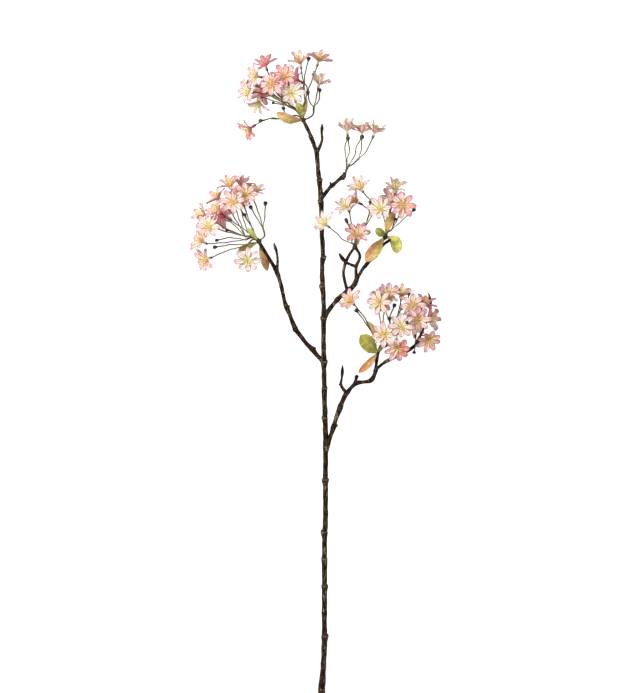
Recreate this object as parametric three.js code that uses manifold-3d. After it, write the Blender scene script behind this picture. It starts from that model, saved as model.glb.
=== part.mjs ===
// A flowering branch about 1.05 m long, cut at its foot and lying on its back.
// One woody branch carries seven heads of starry eight-petalled blooms on thin green stalks, with
// closed buds among them and a few young leaves below the larger heads.
// Millimetres, +Z up. The branch points along +Y, and the surface it lies on is z = 0. It rests on
// the cut foot of the stem and on the undermost blooms of the left and the lower heads.

import * as THREE from 'three';
import Module from 'manifold-3d';

const wasm = await Module();
wasm.setup();

// Driving dimensions.
const GAP = 0.3; // air left between two pieces that meet
const FOOT_Y = -522; // the cut end of the stem
const FOOT_RADIUS = 5.6;
const STEM_RISE = 0.0606; // how steeply the stem climbs from the surface
const STEM_SIDES = 6;
const TWIG_SIDES = 5;
const RING_BELOW = 11; // how far the stem swells below a ring on it, and above
const RING_ABOVE = 2;
const STALK_RADIUS = 1.15;
const STALK_ROOT = 0.7; // radius where a stalk is sunk into another
const MAIN_RADIUS = 1.3; // of the main stalks, from the knob to a fork
const FORK_RADIUS = 2.3; // a main stalk swells to this where it forks
const STALK_SIDES = 3;
const STALK_STRAIGHT = 9; // the last stretch of a stalk, in line with its bloom
const STALK_GAP = 0.35; // between a stalk and the foot of its bloom
const KNOB_RADIUS = 3.2; // the swelling that a head's stalks spring from
const KNOB_LENGTH = 8;
const KNOB_FOOT = 0.6; // radii of the knob's two ends, as shares of its own
const KNOB_TOP = 0.5;
const BUD_SIDES = 4;
const BUD_SHOULDER = 0.12; // where a bud is thickest, as a share of its length past its middle
const BUD_TIP = 0.5; // radius of a bud's blunt end, as a share of its own
const PETALS = 8;
const PETAL_SPAN = 22; // from the throat to a petal's tip
const SPAN_SPREAD = 0.06; // by what share of it the span differs from petal to petal
const TURN_SPREAD = 0.06; // by what share of the step between them petals stand off it
const LIFT_SPREAD = 0.5; // by what share of it the lift differs from petal to petal
const PETAL_ROOT = [1.4, -2]; // radius and height where a petal's middle starts in the throat
const PETAL_BEND = [6, 4.2]; // and those of the point that it bends round
const PETAL_WIDTH = 8.8; // of a petal that lies flat; a raised one is narrower
const ROOT_WIDTH = 0.24; // share of the width at the root
const WIDEST = 0.68; // share of the length where a petal has its whole width
const TIP_START = 0.72; // share of the length where its tip begins to round in
const TIP_POWER = 2.2; // how square the tip is
const PETAL_KEEL = 1.1; // thickness along a petal's middle
const PETAL_CUP = 0.5; // how far a petal's edges are turned up
const PETAL_STATIONS = [0.66, 0.9]; // shares of a petal's length
const TUBE_LENGTH = 10; // from the end of the stalk to the throat
const TUBE_FOOT = 1.3; // radii of the tube at its foot, its waist and its rim
const TUBE_WAIST = 1.9;
const TUBE_RIM = 2.9;
const WAIST_DEPTH = 3.5; // from the rim down to the waist
const STAMEN_RISE = 4.5; // of the stamens' tips above the petals'
const STAMEN_SPREAD = 3.4; // from the axis of the bloom to a stamen's tip
const LEAF_THICKNESS = 1;
const LEAF_FOLD = 0.14; // how deep a leaf is folded along its midrib, for each mm of width
const LEAF_OUTLINE = [[0, 0.12], [0.16, 0.46], [0.4, 0.92], [0.68, 1], [0.9, 0.66]];
// shares of the length, each with its share of the width
const SCRAP_VOLUME = 60; // mm3; what a cut leaves below this size is loose and dropped

// Heads: where the stalks spring from, which way the head grows, the forks its main stalks run to
// and the points that some of them pass, its blooms and its closed buds. A bloom has the centre of
// its throat, the way it faces, how far its petals' tips stand above the throat, the number of the
// fork its stalk leaves, and the points that stalk passes. A bud has its middle, its radius and
// length, and the same last two.
const HEADS = {
  top: {
    spring: [-20, 411, 62],
    grows: [-0.45, 0.85, 0.15],
    forks: [
      [-17, 438, 64], [-2.5, 431, 60], [-46, 411, 60], [-44, 432, 78], [-27, 430, 80], [-42, 436, 48],
    ],
    bends: { 1: [[-11, 413, 61], [-4.5, 418, 60]] },
    blooms: [
      { at: [-80, 497, 70], facing: [-0.3, 0.8, -0.4], lift: 8, fork: 5, via: [[-68, 468, 58]] },
      { at: [-94, 479, 88], facing: [-0.85, 0.15, 0.5], lift: 9, fork: 3, via: [[-68, 462, 82]] },
      { at: [-106, 455, 80], facing: [-0.8, 0.05, 0.6], lift: 8, fork: 3, via: [[-76, 450, 72]] },
      { at: [-90, 438, 90], facing: [-0.35, -0.75, 0.5], lift: 12, fork: 3, via: [[-72, 442, 79]] },
      { at: [-70, 465, 100], facing: [-0.2, 0.3, 0.95], lift: 6, fork: 3, via: [[-59, 449, 84]] },
      { at: [-48, 479, 98], facing: [-0.15, 0.3, 0.95], lift: 8, fork: 4, via: [[-38, 456, 82]] },
      { at: [-38, 451, 102], facing: [0.05, 0.15, 1], lift: 5, fork: 4, via: [] },
      { at: [-24, 501, 74], facing: [-0.12, 0.85, 0.45], lift: 13, fork: 0, via: [[-19, 466, 68]] },
      { at: [5, 505, 60], facing: [0.2, 0.8, 0.4], lift: 10, fork: 0, via: [[-12, 456, 59], [-4, 478, 58]] },
      { at: [6, 468, 66], facing: [0.2, 0.85, 0.45], lift: 13, fork: 1, via: [[1.5, 446, 60]] },
      { at: [-104, 397, 55], facing: [-0.75, -0.5, 0.2], lift: 10, fork: 2, via: [[-78, 411, 58]] },
      { at: [-29, 475, 60], facing: [-0.7, 0.5, -0.1], lift: 9, fork: 0, via: [] },
      { at: [-85, 455, 35], facing: [-0.5, 0.1, -0.8], lift: 5, fork: 5, via: [] },
      { at: [-40, 458, 25], facing: [0, 0.2, -1], lift: 5, fork: 5, via: [] },
    ],
    buds: [
      { at: [-11, 507, 66], size: [3.2, 8.5], fork: 0, via: [[-17, 480, 67]] },
      { at: [-12, 453, 60], size: [3.2, 8], fork: 1, via: [[-9, 438, 61]] },
      { at: [7, 457, 56], size: [2.8, 8], fork: 1, via: [[6, 443, 57]] },
      { at: [-93, 463, 101], size: [3, 6.5], fork: 3, via: [] },
      { at: [-71, 455, 80], size: [3.2, 7], fork: 3, via: [] },
      { at: [-51, 428, 74], size: [3.2, 7], fork: 2, via: [] },
      { at: [-67, 437, 68], size: [2.4, 6], fork: 3, via: [] },
      { at: [-87, 409, 60], size: [3.2, 8.5], fork: 2, via: [[-70, 413, 62]] },
    ],
  },
  corner: {
    spring: [45.5, 321.5, 56.8],
    grows: [0.4, 0.9, 0.05],
    forks: [[49.5, 346, 58], [69, 348, 59], [54, 339, 58]],
    bends: { 0: [[50, 334.5, 57.2]], 1: [[52.2, 334, 57.6], [60, 340, 58]], 2: [[51.6, 332.5, 58.6]] },
    blooms: [
      { at: [50.5, 394, 56], facing: [-0.1, 0.9, 0.3], lift: 13, fork: 0, via: [[47, 363, 56]] },
      { at: [74.5, 391, 60], facing: [0, 1, 0.2], lift: 11, fork: 1, via: [[73, 363, 60]] },
      { at: [94.5, 391, 57], facing: [0.3, 0.92, 0.15], lift: 12, fork: 1, via: [[81, 360, 57]] },
    ],
    buds: [
      { at: [52, 380, 63], size: [3.4, 9], fork: 0, via: [[54.5, 362, 61]] },
      { at: [74, 382, 68], size: [3.6, 9], fork: 2, via: [[62, 352, 61], [66, 368, 64]] },
    ],
  },
  left: {
    spring: [-91, 217, 48],
    grows: [-0.6, 0.75, 0.1],
    forks: [
      [-84, 238, 50], [-101, 237, 52], [-112, 224, 58], [-112, 219, 48], [-108, 211, 47],
      [-109, 232, 40],
    ],
    bends: { 0: [[-82, 224, 49]] },
    blooms: [
      { at: [-119, 306, 49], facing: [0.1, 0.95, 0.1], lift: 13, fork: 1, via: [[-114, 272, 47]] },
      { at: [-98, 295, 58], facing: [0.2, 0.9, 0.35], lift: 9, fork: 0, via: [[-91, 262, 52]] },
      { at: [-112, 291, 78], facing: [0.2, 0.35, 0.9], lift: 7, fork: 1, via: [[-112, 268, 62]] },
      { at: [-136, 305, 62], facing: [-0.3, 0.75, 0.55], lift: 10, fork: 1, via: [[-121, 270, 54]] },
      { at: [-155, 285, 54], facing: [-0.65, 0.6, 0.3], lift: 9, fork: 2, via: [[-132, 258, 52]] },
      { at: [-131, 279, 86], facing: [-0.1, 0.25, 0.95], lift: 5, fork: 2, via: [[-124, 258, 70]] },
      { at: [-156, 265, 70], facing: [-0.65, 0.55, 0.4], lift: 9, fork: 2, via: [[-136, 248, 62]] },
      { at: [-178, 259, 46], facing: [-0.85, 0.3, 0.35], lift: 12, fork: 2, via: [[-149, 240, 48]] },
      { at: [-169, 240, 76], facing: [-0.4, 0.1, 0.9], lift: 5, fork: 2, via: [[-144, 232, 60]] },
      { at: [-181, 216, 58], facing: [-0.7, 0.35, 0.5], lift: 8, fork: 3, via: [[-148, 214, 50]] },
      { at: [-174, 188, 46], facing: [-0.8, -0.25, 0.5], lift: 8, fork: 4, via: [[-145, 200, 43]] },
      { at: [-109, 186, 66], facing: [0, -0.35, 0.9], lift: 4, fork: 4, via: [] },
      { at: [-149, 258, 22], facing: [-0.4, 0.2, -0.85], lift: 4, fork: 5, via: [], settle: true },
      { at: [-123, 282, 24], facing: [-0.1, 0.5, -0.8], lift: 5, fork: 5, via: [] },
    ],
    buds: [
      { at: [-80, 276, 52], size: [3.4, 9], fork: 0, via: [[-81, 257, 52]] },
      { at: [-103, 270, 57], size: [3.2, 8.5], fork: 0, via: [[-93, 252, 55]] },
      { at: [-113, 258, 60], size: [3, 7], fork: 1, via: [] },
      { at: [-141, 234, 66], size: [2.4, 7], fork: 2, via: [] },
      { at: [-157, 218, 60], size: [2.6, 8], fork: 3, via: [[-138, 222, 58]] },
      { at: [-160, 207, 52], size: [3, 9], fork: 4, via: [[-134, 211, 51]] },
    ],
  },
  inner: {
    spring: [63, 208, 52],
    grows: [-0.1, 0.95, 0.3],
    forks: [[58, 213, 55], [66, 215, 56], [78, 236, 50]],
    blooms: [
      { at: [16, 243, 68], facing: [-0.6, 0.4, 0.6], lift: 10, fork: 0, via: [[44, 219, 56], [36, 227, 57]] },
      { at: [67, 226, 80], facing: [0.05, 0.6, 0.75], lift: 8, fork: 1, via: [] },
      { at: [50, 270, 68], facing: [-0.45, 0.7, 0.55], lift: 9, fork: 0, via: [[57, 246, 56]] },
      { at: [66, 279, 56], facing: [-0.8, 0.35, 0.35], lift: 9, fork: 2, via: [[86, 264, 50]] },
      { at: [73, 301, 57], facing: [-0.35, 0.6, 0.7], lift: 11, fork: 2, via: [[94, 270, 46]] },
      { at: [67, 230, 26], facing: [0.05, 0.1, -1], lift: 12, fork: 1, via: [] },
    ],
    buds: [
      { at: [50, 248, 66], size: [2.9, 12], fork: 0, via: [[59, 227, 61]] },
      { at: [87.5, 278, 62], size: [3, 7], fork: 2, via: [[85, 258, 56]] },
    ],
  },
  outer: {
    spring: [112, 224, 50],
    grows: [0.2, 0.9, 0.3],
    forks: [[113, 240, 54], [121, 234, 55]],
    blooms: [
      { at: [104, 268, 72], facing: [-0.15, 0.2, 0.95], lift: 7, fork: 0, via: [] },
      { at: [138, 273, 82], facing: [0.1, 0.1, 1], lift: 4, fork: 1, via: [[134, 258, 64]] },
      { at: [128, 300, 56], facing: [0.1, 0.85, 0.5], lift: 10, fork: 0, via: [[121, 268, 52]] },
      { at: [123, 282, 28], facing: [0.1, 0.4, -0.85], lift: 5, fork: 0, via: [] },
    ],
    buds: [
      { at: [157, 266, 64], size: [2.8, 8], fork: 1, via: [] },
      { at: [127.5, 251, 64], size: [2.6, 7], fork: 1, via: [] },
    ],
  },
  lower: {
    spring: [112, 51, 43],
    grows: [0.35, 0.85, 0.3],
    forks: [
      [91, 69, 42], [107, 75, 48], [119, 76, 52], [131, 68, 62], [136, 76, 46], [124, 76, 36],
    ],
    blooms: [
      { at: [57, 119, 60], facing: [-0.55, 0.45, 0.7], lift: 9, fork: 0, via: [[80, 92, 44]] },
      { at: [102, 118, 66], facing: [-0.25, 0.2, 0.9], lift: 6, fork: 1, via: [[102, 100, 50]] },
      { at: [116, 129, 56], facing: [0.05, 0.6, 0.75], lift: 8, fork: 1, via: [[110, 102, 44]] },
      { at: [138, 130, 52], facing: [0.1, 0.8, 0.55], lift: 10, fork: 2, via: [[132, 100, 44]] },
      { at: [155, 112, 72], facing: [0.05, 0.3, 0.95], lift: 6, fork: 3, via: [[150, 96, 60]] },
      { at: [173, 116, 52], facing: [0.4, 0.75, 0.45], lift: 9, fork: 4, via: [[160, 98, 44]] },
      { at: [163, 90, 78], facing: [0.1, 0.1, 1], lift: 5, fork: 3, via: [[156, 82, 66]] },
      { at: [183, 91, 60], facing: [0.8, 0.15, 0.55], lift: 7, fork: 4, via: [[164, 86, 50]] },
      { at: [138, 80, 87], facing: [0, 0.1, 1], lift: 5, fork: 3, via: [] },
      { at: [110, 67, 82], facing: [-0.2, 0.1, 0.95], lift: 5, fork: 1, via: [[112, 68, 60]] },
      { at: [131, 46, 76], facing: [0.05, -0.45, 0.85], lift: 5, fork: 3, via: [] },
      { at: [106, 121, 20], facing: [0, 0.1, -1], lift: 10, fork: 5, via: [], settle: true },
      { at: [158, 84, 20], facing: [0.3, 0, -0.9], lift: 4, fork: 5, via: [[148, 82, 38]], settle: true },
    ],
    buds: [
      { at: [126, 113, 62], size: [3.2, 8.5], fork: 2, via: [[120, 98, 58]] },
      { at: [138, 109, 64], size: [3, 8.5], fork: 2, via: [] },
      { at: [118, 92, 62], size: [3.2, 8.5], fork: 2, via: [] },
      { at: [146, 86, 98], size: [3, 7], fork: 3, via: [[147, 81, 78]] },
      { at: [149, 131, 74], size: [2.6, 6], fork: 2, via: [[147, 108, 61]] },
      { at: [66, 105, 52], size: [3.4, 8], fork: 0, via: [[80, 86, 47]] },
    ],
  },
  tip: {
    spring: [164, 54, 47],
    grows: [0.5, 0.6, 0.5],
    forks: [[160, 55, 52]],
    blooms: [
      { at: [181, 60, 60], facing: [0.3, -0.5, 0.75], lift: 7, fork: 0, via: [[168, 65, 48]] },
    ],
    buds: [
      { at: [160, 64, 57], size: [1.8, 8], fork: 0, via: [] },
      { at: [169, 69, 50], size: [1.8, 8], fork: 0, via: [] },
      { at: [158, 39, 52], size: [3, 6], fork: 0, via: [] },
    ],
  },
};

// The main stem from its foot to its top: centre x, y and radius. Its height follows from y.
const STEM = [
  [10, FOOT_Y, FOOT_RADIUS], [10, -502, 5.5], [12, -479, 4.8], [13, -457, 4.4], [14, -438, 4.3],
  [14.5, -374, 4.2], [14.5, -294, 4.2], [15, -254, 4.2], [16, -230, 4.1], [16, -166, 4.1],
  [16.5, -118, 4.2], [15.5, -70, 4.1], [14.5, -30, 4], [13.5, 18, 4], [13, 66, 3.9],
  [13.5, 106, 3.8], [12, 138, 3.8], [10.5, 170, 3.6], [12, 199, 3.6], [10.5, 226, 3.7],
  [9.5, 266, 3.7], [8.5, 286, 3.7], [6.5, 311, 3.7], [4, 334, 3.6], [1.5, 359, 3.4], [-4, 375, 3.2],
  [-9, 388, 3.1], [-13, 396, 2.9], [-17.5, 406, 2.6], [-19.5, 410, 2.5],
];
// Rings where the stem has borne leaves: y, radius, and how far the ring's bud scar pushes its
// middle towards +X.
const COLLARS = [
  [-502, 6, 0], [-416, 6.4, 0.9], [-336, 6.2, 0.4], [-292, 5.2, 0], [-249, 6.1, -0.8], [-165, 6, 0.2],
  [-112, 5.9, 0.6], [-66, 5.5, -0.6], [-18, 5.4, 0.5], [24, 5.5, 0.6], [94, 5.4, -0.6],
  [145, 5.3, -0.8], [191, 5.4, 1], [281, 5.4, -0.6], [315, 5.6, 0.3], [362, 4.7, 0.5], [384, 4, -0.5],
];

// Twigs, each a list of x, y, z and radius. A twig with no head ends in a slim resting bud.
const TWIGS = {
  toLeft: [
    [13, 23, 38, 3.9], [0, 37, 39, 3.6], [-6, 44.5, 39.5, 4.6], [-12, 50, 40, 3.6],
    [-26, 67.5, 40.7, 3.6], [-31.5, 75, 41, 4.6], [-36, 85, 41.6, 3.4], [-42.5, 102, 42.7, 3.6],
    [-46, 110, 43.2, 4.3], [-50, 123, 43.8, 3.3], [-56, 149, 45, 3.2], [-62, 167, 46, 3.6],
    [-73, 187, 46, 2.8], [-86, 208, 47.5, 2.8], [-91, 217, 48, 2.7],
  ],
  leftBud: [
    [-62, 168, 46, 2.6], [-60.5, 184, 48, 2.2], [-62, 199, 50, 1.9], [-64, 205, 51, 2.5],
    [-66.5, 214, 52, 0.7],
  ],
  toLower: [
    [16.5, -118, 29.5, 4.2], [20, -107, 30, 3.9], [26, -90, 31, 3.6], [29, -81, 31.6, 4.5],
    [32, -70, 32.2, 3.6], [37.5, -55, 33, 4.2], [40, -48, 33.6, 4.5], [43, -40, 34.2, 3.7],
    [50, -27, 35, 4.1], [61, -14, 36, 3.3], [68, -10, 37, 3.6], [80, -8.5, 37.5, 2.8],
    [89, -6, 38, 3.9], [94, 2, 38.5, 3.1], [98, 12, 39, 3.6],
  ],
  lowerThorn: [[37, -56, 33, 2.2], [41, -52, 33.5, 1.6], [44, -50, 34, 0.6]],
  lowerLeftBud: [
    [49, -26, 35, 2.8], [41, -14, 36, 2.5], [42, -3, 37, 1.7], [43, 8, 38, 2.5], [43.5, 18, 39, 0.6],
  ],
  lowerStub: [[63, -11, 36, 2.2], [65, -4, 37, 2.1], [66, 0, 37.5, 3], [66, 3, 38, 1]],
  lowerUp: [
    [95, 6, 38.6, 2.2], [98, 24, 40, 2.7], [100, 38, 41, 2.8], [106, 46, 42, 2.5],
    [112, 51, 43, 2.3],
  ],
  lowerRight: [
    [94, 8, 39, 2.3], [107, 20, 40, 2.6], [119, 27, 42, 3], [136, 35, 44, 2.4], [152, 44, 46, 2.8],
    [164, 54, 47, 2.2],
  ],
  lowerFarBud: [
    [161, 51, 47, 2.2], [172, 74, 42, 1.8], [183, 104, 34, 1.7], [184, 122, 32, 2.4], [181, 134, 33, 0.6],
  ],
  toRight: [
    [13, 91, 42, 3.8], [22, 107, 43.8, 3.7], [31, 118.5, 44.6, 3.4], [34.5, 122.5, 45, 4.5],
    [40, 128, 45.3, 3.5], [50, 136, 46, 3.9], [54, 139, 46.4, 4.4], [62, 147, 47, 3.9],
    [68, 161, 48, 3.6],
  ],
  rightInner: [[66, 156, 47.5, 2.4], [65, 174, 49, 2.7], [71, 193, 50, 2.4], [63, 208, 52, 2.2]],
  rightLoop: [
    [51, 138, 46, 2.6], [46, 156, 47, 2.3], [45, 170, 48, 2.4], [51, 189, 50, 2.5], [63, 208, 52, 2.1],
  ],
  rightCrossBud: [
    [65, 176, 49, 2], [50, 182, 49.5, 2.4], [43, 189, 51, 3.1], [38, 197, 52, 1.2],
  ],
  rightOuter: [
    [65, 154, 48, 2.5], [75, 171, 47.5, 2.9], [83, 181, 47, 3.2], [94, 196, 47.5, 2.5],
    [104, 212, 49, 2.4], [112, 224, 50, 2.3],
  ],
  rightStub: [[82, 180, 47, 2], [90, 186, 48, 1.5], [98, 192, 49, 1.6], [100, 193, 49, 0.5]],
  rightFrontBud: [
    [100, 206, 48.5, 1.6], [103, 203, 55, 1.6], [110, 212, 59, 2.2], [119, 218, 61, 1.8],
    [121, 219, 61, 0.6],
  ],
  toCorner: [
    [9, 285, 54.4, 3.7], [18, 296, 55, 3], [24, 303, 55.4, 3], [26.5, 305.5, 55.6, 3.9],
    [31, 309, 55.8, 2.9], [38, 315, 56.2, 2.9], [42.5, 318.5, 56.5, 4], [45.5, 321.5, 56.8, 2.6],
  ],
  topBud: [
    [2, 358, 59, 2.6], [8, 370, 60, 2.5], [10.5, 379, 60.5, 2.3], [10, 390, 61, 1.8],
    [10.5, 397, 61, 2.5],
    [10.5, 404, 61.5, 0.7],
  ],
};

// Leaves: the foot, the middle and the tip of the midrib, the width and the way the face looks.
const LEAVES = {
  top_leaf_peach: {
    rib: [[-21.5, 409.5, 63.5], [-42, 412, 76], [-62, 421, 72]], width: 17, facing: [0.1, -0.5, 0.85],
    color: 0xd9a071,
  },
  top_leaf_olive: {
    rib: [[-21, 413, 68], [-23, 424, 78], [-30, 437, 82]], width: 13, facing: [0.2, -0.4, 0.9],
    color: 0xa39b3e,
  },
  top_leaf_narrow: {
    rib: [[-20, 412, 60.5], [-16, 430, 53], [-15, 447, 50]], width: 6, facing: [0.3, 0.1, 0.95],
    color: 0xcdb27c,
  },
  left_leaf_yellow: {
    rib: [[-92, 218, 50], [-101, 228, 63], [-110, 237, 66]], width: 9, facing: [0.4, 0.1, 0.9],
    color: 0xb9bb62,
  },
  left_leaf_brown: {
    rib: [[-92, 215.5, 46.5], [-108, 209, 38], [-124, 202, 36]], width: 11, facing: [0.1, -0.35, 0.9],
    color: 0x8d7b41,
  },
  left_leaf_orange: {
    rib: [[-89, 212, 46], [-84, 196, 40], [-77, 169, 40]], width: 14, facing: [0.1, 0.1, 1],
    color: 0xb0804c,
  },
  outer_leaf_apricot: {
    rib: [[113, 228, 54], [117, 245, 58], [127, 265, 60]], width: 13, facing: [-0.2, -0.2, 0.95],
    color: 0xdca56b,
  },
  outer_leaf_round: {
    rib: [[111, 224.5, 51.5], [104, 230, 62], [97, 237, 64]], width: 13, facing: [0.1, -0.3, 0.95],
    color: 0x98983f,
  },
  outer_leaf_green: {
    rib: [[115, 224, 51], [127, 216, 53], [131.5, 197, 50]], width: 19, facing: [0.2, 0.1, 1],
    color: 0xb7b653,
  },
  outer_leaf_terracotta: {
    rib: [[108, 221, 53], [97, 204, 62], [80, 184, 60]], width: 20, facing: [-0.1, 0.1, 1],
    color: 0xc58a63,
  },
  lower_leaf_green: {
    rib: [[98.5, 38, 42.5], [86, 50, 54], [72, 66, 56]], width: 25, facing: [0.1, 0.2, 1],
    color: 0xb0ac4a,
  },
  lower_leaf_small: {
    rib: [[100.3, 39, 43], [104, 46, 54], [106, 53, 60]], width: 9, facing: [0.2, -0.3, 0.9],
    color: 0x9c9a44,
  },
  lower_leaf_orange: {
    rib: [[98, 36.5, 42.5], [88, 24, 48], [69, 6, 46]], width: 12, facing: [0.2, -0.1, 1],
    color: 0xd99d63,
  },
  lower_leaf_peach: {
    rib: [[110.5, 53.5, 42.5], [98, 70, 34], [81, 89, 32]], width: 10, facing: [0.1, 0.1, 1],
    color: 0xcfa36e,
  },
};

const vector = ([x, y, z]) => new THREE.Vector3(x, y, z);
const unit = (triple) => vector(triple).normalize();
const wave = (n) => Math.sin(2.4 * n); // an even spread of values from -1 to 1 for whole n
const stemHeight = (y) => FOOT_RADIUS + STEM_RISE * (y - FOOT_Y);

// A closed solid over rings of corners, in order. A ring of one corner is a point.
function skin(rings) {
  const corners = rings.flat();
  const starts = rings.map((ring, i) => rings.slice(0, i).flat().length);
  const faces = [];
  for (let i = 0; i + 1 < rings.length; i += 1) {
    const sides = Math.max(rings[i].length, rings[i + 1].length);
    const here = (k) => starts[i] + (k % rings[i].length);
    const there = (k) => starts[i + 1] + (k % rings[i + 1].length);
    for (let k = 0; k < sides; k += 1) {
      if (rings[i].length > 1) faces.push(here(k), here(k + 1), there(k + 1));
      if (rings[i + 1].length > 1) faces.push(here(k), there(k + 1), there(k));
    }
  }
  const last = rings.length - 1;
  for (let k = 1; k + 1 < rings[0].length; k += 1) faces.push(0, k + 1, k);
  for (let k = 1; k + 1 < rings[last].length; k += 1) {
    faces.push(starts[last], starts[last] + k, starts[last] + k + 1);
  }
  return solid(corners, faces);
}

// A solid from corners and the corner numbers of its faces, turned the right way out.
function solid(corners, faces) {
  let volume = 0;
  for (let i = 0; i < faces.length; i += 3) {
    const [a, b, c] = faces.slice(i, i + 3).map((n) => corners[n]);
    volume += a.dot(b.clone().cross(c));
  }
  const triangles = volume > 0 ? faces : faces.toReversed();
  return new wasm.Manifold(new wasm.Mesh({
    numProp: 3,
    vertProperties: new Float32Array(corners.flatMap((corner) => corner.toArray())),
    triVerts: new Uint32Array(triangles),
  }));
}

const join = (solids) => solids.reduce((whole, piece) => whole.add(piece));

// The largest body of a solid, without the scraps that a cut leaves.
function largest(piece) {
  return piece.decompose().reduce((a, b) => (a.volume() > b.volume() ? a : b));
}

// A rod along a smooth curve through points, with a radius at each point. Its last section is
// square to the curve, or to a direction of its own.
function rod(points, radii, sides, grow, finish) {
  const curve = new THREE.CatmullRomCurve3(points, false, 'centripetal');
  const last = points.length - 1;
  const side = new THREE.Vector3(0, 0, 1);
  if (Math.abs(curve.getTangent(0).z) > 0.9) side.set(0, 1, 0);
  return skin(points.map((point, i) => {
    const along = i === last && finish ? finish : curve.getTangent(i / last);
    side.addScaledVector(along, -side.dot(along)).normalize();
    const middle = point.clone();
    if (i === 0) middle.addScaledVector(along, -grow);
    if (i === last) middle.addScaledVector(along, grow);
    return circle(middle, side, along.clone().cross(side), radii[i] + grow, sides);
  }));
}

function circle(middle, side, across, radius, sides) {
  const ring = [];
  for (let k = 0; k < sides; k += 1) {
    const angle = (k / sides) * 2 * Math.PI;
    ring.push(middle.clone()
      .addScaledVector(side, radius * Math.cos(angle))
      .addScaledVector(across, radius * Math.sin(angle)));
  }
  return ring;
}

// Two directions at right angles to a direction and to each other.
function squareTo(direction) {
  const side = Math.abs(direction.z) > 0.9 ? new THREE.Vector3(0, 1, 0) : new THREE.Vector3(0, 0, 1);
  side.addScaledVector(direction, -side.dot(direction)).normalize();
  return [side, direction.clone().cross(side)];
}

// A body of round sections along a straight axis: profile holds distances along it and radii.
function spindle(start, axis, profile, sides) {
  const [side, across] = squareTo(axis);
  return skin(profile.map(([along, radius]) => {
    const middle = start.clone().addScaledVector(axis, along);
    return radius > 0 ? circle(middle, side, across, radius, sides) : [middle];
  }));
}

// Main stem: a six-sided rod. It swells slowly up to each ring and steps back in above it.
function stem(grow) {
  const middles = STEM.map(([x, y]) => new THREE.Vector3(x, y, stemHeight(y)));
  const stations = STEM.map(([, y, radius], i) => ({ y, radius, point: middles[i] }));
  const plain = (y) => {
    const i = Math.min(Math.max(stations.findIndex((s) => s.y > y), 1), stations.length - 1);
    const [a, b] = [stations[i - 1], stations[i]];
    const share = (y - a.y) / (b.y - a.y);
    return {
      y,
      radius: THREE.MathUtils.lerp(a.radius, b.radius, share),
      point: a.point.clone().lerp(b.point, share),
    };
  };
  const rings = COLLARS.flatMap(([y, radius, scar]) => {
    const middle = plain(y);
    middle.point.x += scar;
    return [plain(y - RING_BELOW), { ...middle, radius }, plain(y + RING_ABOVE)];
  });
  const clear = stations.filter((s) => (
    COLLARS.every(([y]) => s.y < y - RING_BELOW || s.y > y + RING_ABOVE)
  ));
  const all = [...clear, ...rings].sort((a, b) => a.y - b.y);
  const side = new THREE.Vector3(0, 0, 1);
  return skin(all.map(({ point, radius }, i) => {
    const ahead = all[Math.min(i + 1, all.length - 1)].point;
    const behind = all[Math.max(i - 1, 0)].point;
    const along = ahead.clone().sub(behind).normalize();
    side.addScaledVector(along, -side.dot(along)).normalize();
    return circle(point, side, along.clone().cross(side), radius + grow, STEM_SIDES);
  }));
}

// Wood: the stem, its twigs and their resting buds are one grown piece.
function wood(grow) {
  const twigs = Object.values(TWIGS).map((twig) => (
    rod(twig.map(vector), twig.map(([, , , radius]) => radius), TWIG_SIDES, grow)
  ));
  return join([stem(grow), ...twigs]);
}

// Knob: the swelling at a twig's end that the stalks of one head spring from.
function knob(head, grow) {
  const axis = unit(head.grows);
  const start = vector(head.spring).addScaledVector(axis, -KNOB_LENGTH / 2);
  return spindle(start, axis, [
    [-grow, KNOB_FOOT * KNOB_RADIUS + grow],
    [KNOB_LENGTH / 2, KNOB_RADIUS + grow],
    [KNOB_LENGTH + grow, KNOB_TOP * KNOB_RADIUS + grow],
  ], TWIG_SIDES);
}

// A stalk from a fork to its end. With no points of its own it comes in along a direction.
function stalk(start, via, end, direction, grow) {
  const before = end.clone().addScaledVector(direction, -STALK_STRAIGHT);
  const points = [vector(start), ...(via.length > 0 ? via.map(vector) : [before]), end];
  const radii = points.map((point, i) => (i === 0 ? STALK_ROOT : STALK_RADIUS));
  return rod(points, radii, STALK_SIDES, grow, direction);
}

// The main stalk to a fork swells there, and the stalks that leave the fork are sunk into it. With no
// points of its own it bends from the way the head grows towards the fork.
function mainStalk(head, number, grow) {
  const spring = vector(head.spring);
  const end = vector(head.forks[number]);
  const towards = end.clone().sub(spring).normalize().add(unit(head.grows)).normalize();
  const middle = spring.clone().addScaledVector(towards, 0.5 * spring.distanceTo(end));
  const passed = head.bends?.[number]?.map(vector) ?? [middle];
  const beyond = end.clone().sub(passed[passed.length - 1]).setLength(FORK_RADIUS / 2).add(end);
  const radii = [STALK_RADIUS, ...passed.map(() => MAIN_RADIUS), FORK_RADIUS];
  return rod([spring, ...passed, beyond], radii, STALK_SIDES, grow);
}

// A closed bud with its stalk, in one run of four-sided sections: the bud points on from the last
// stretch of the stalk, swells like a fig and ends in a blunt tip.
function bud(head, { at, size: [radius, length], fork, via }, grow) {
  const middle = vector(at);
  const start = head.forks[fork];
  const axis = middle.clone().sub(vector(via.length > 0 ? via[via.length - 1] : start)).normalize();
  const along = (distance) => middle.clone().addScaledVector(axis, distance);
  const body = [-length / 2, BUD_SHOULDER * length, length / 2].map(along);
  const points = [vector(start), ...via.map(vector), ...body];
  const radii = [STALK_ROOT, ...via.map(() => STALK_RADIUS), STALK_RADIUS, radius, BUD_TIP * radius];
  return rod(points, radii, BUD_SIDES, grow);
}

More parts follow.
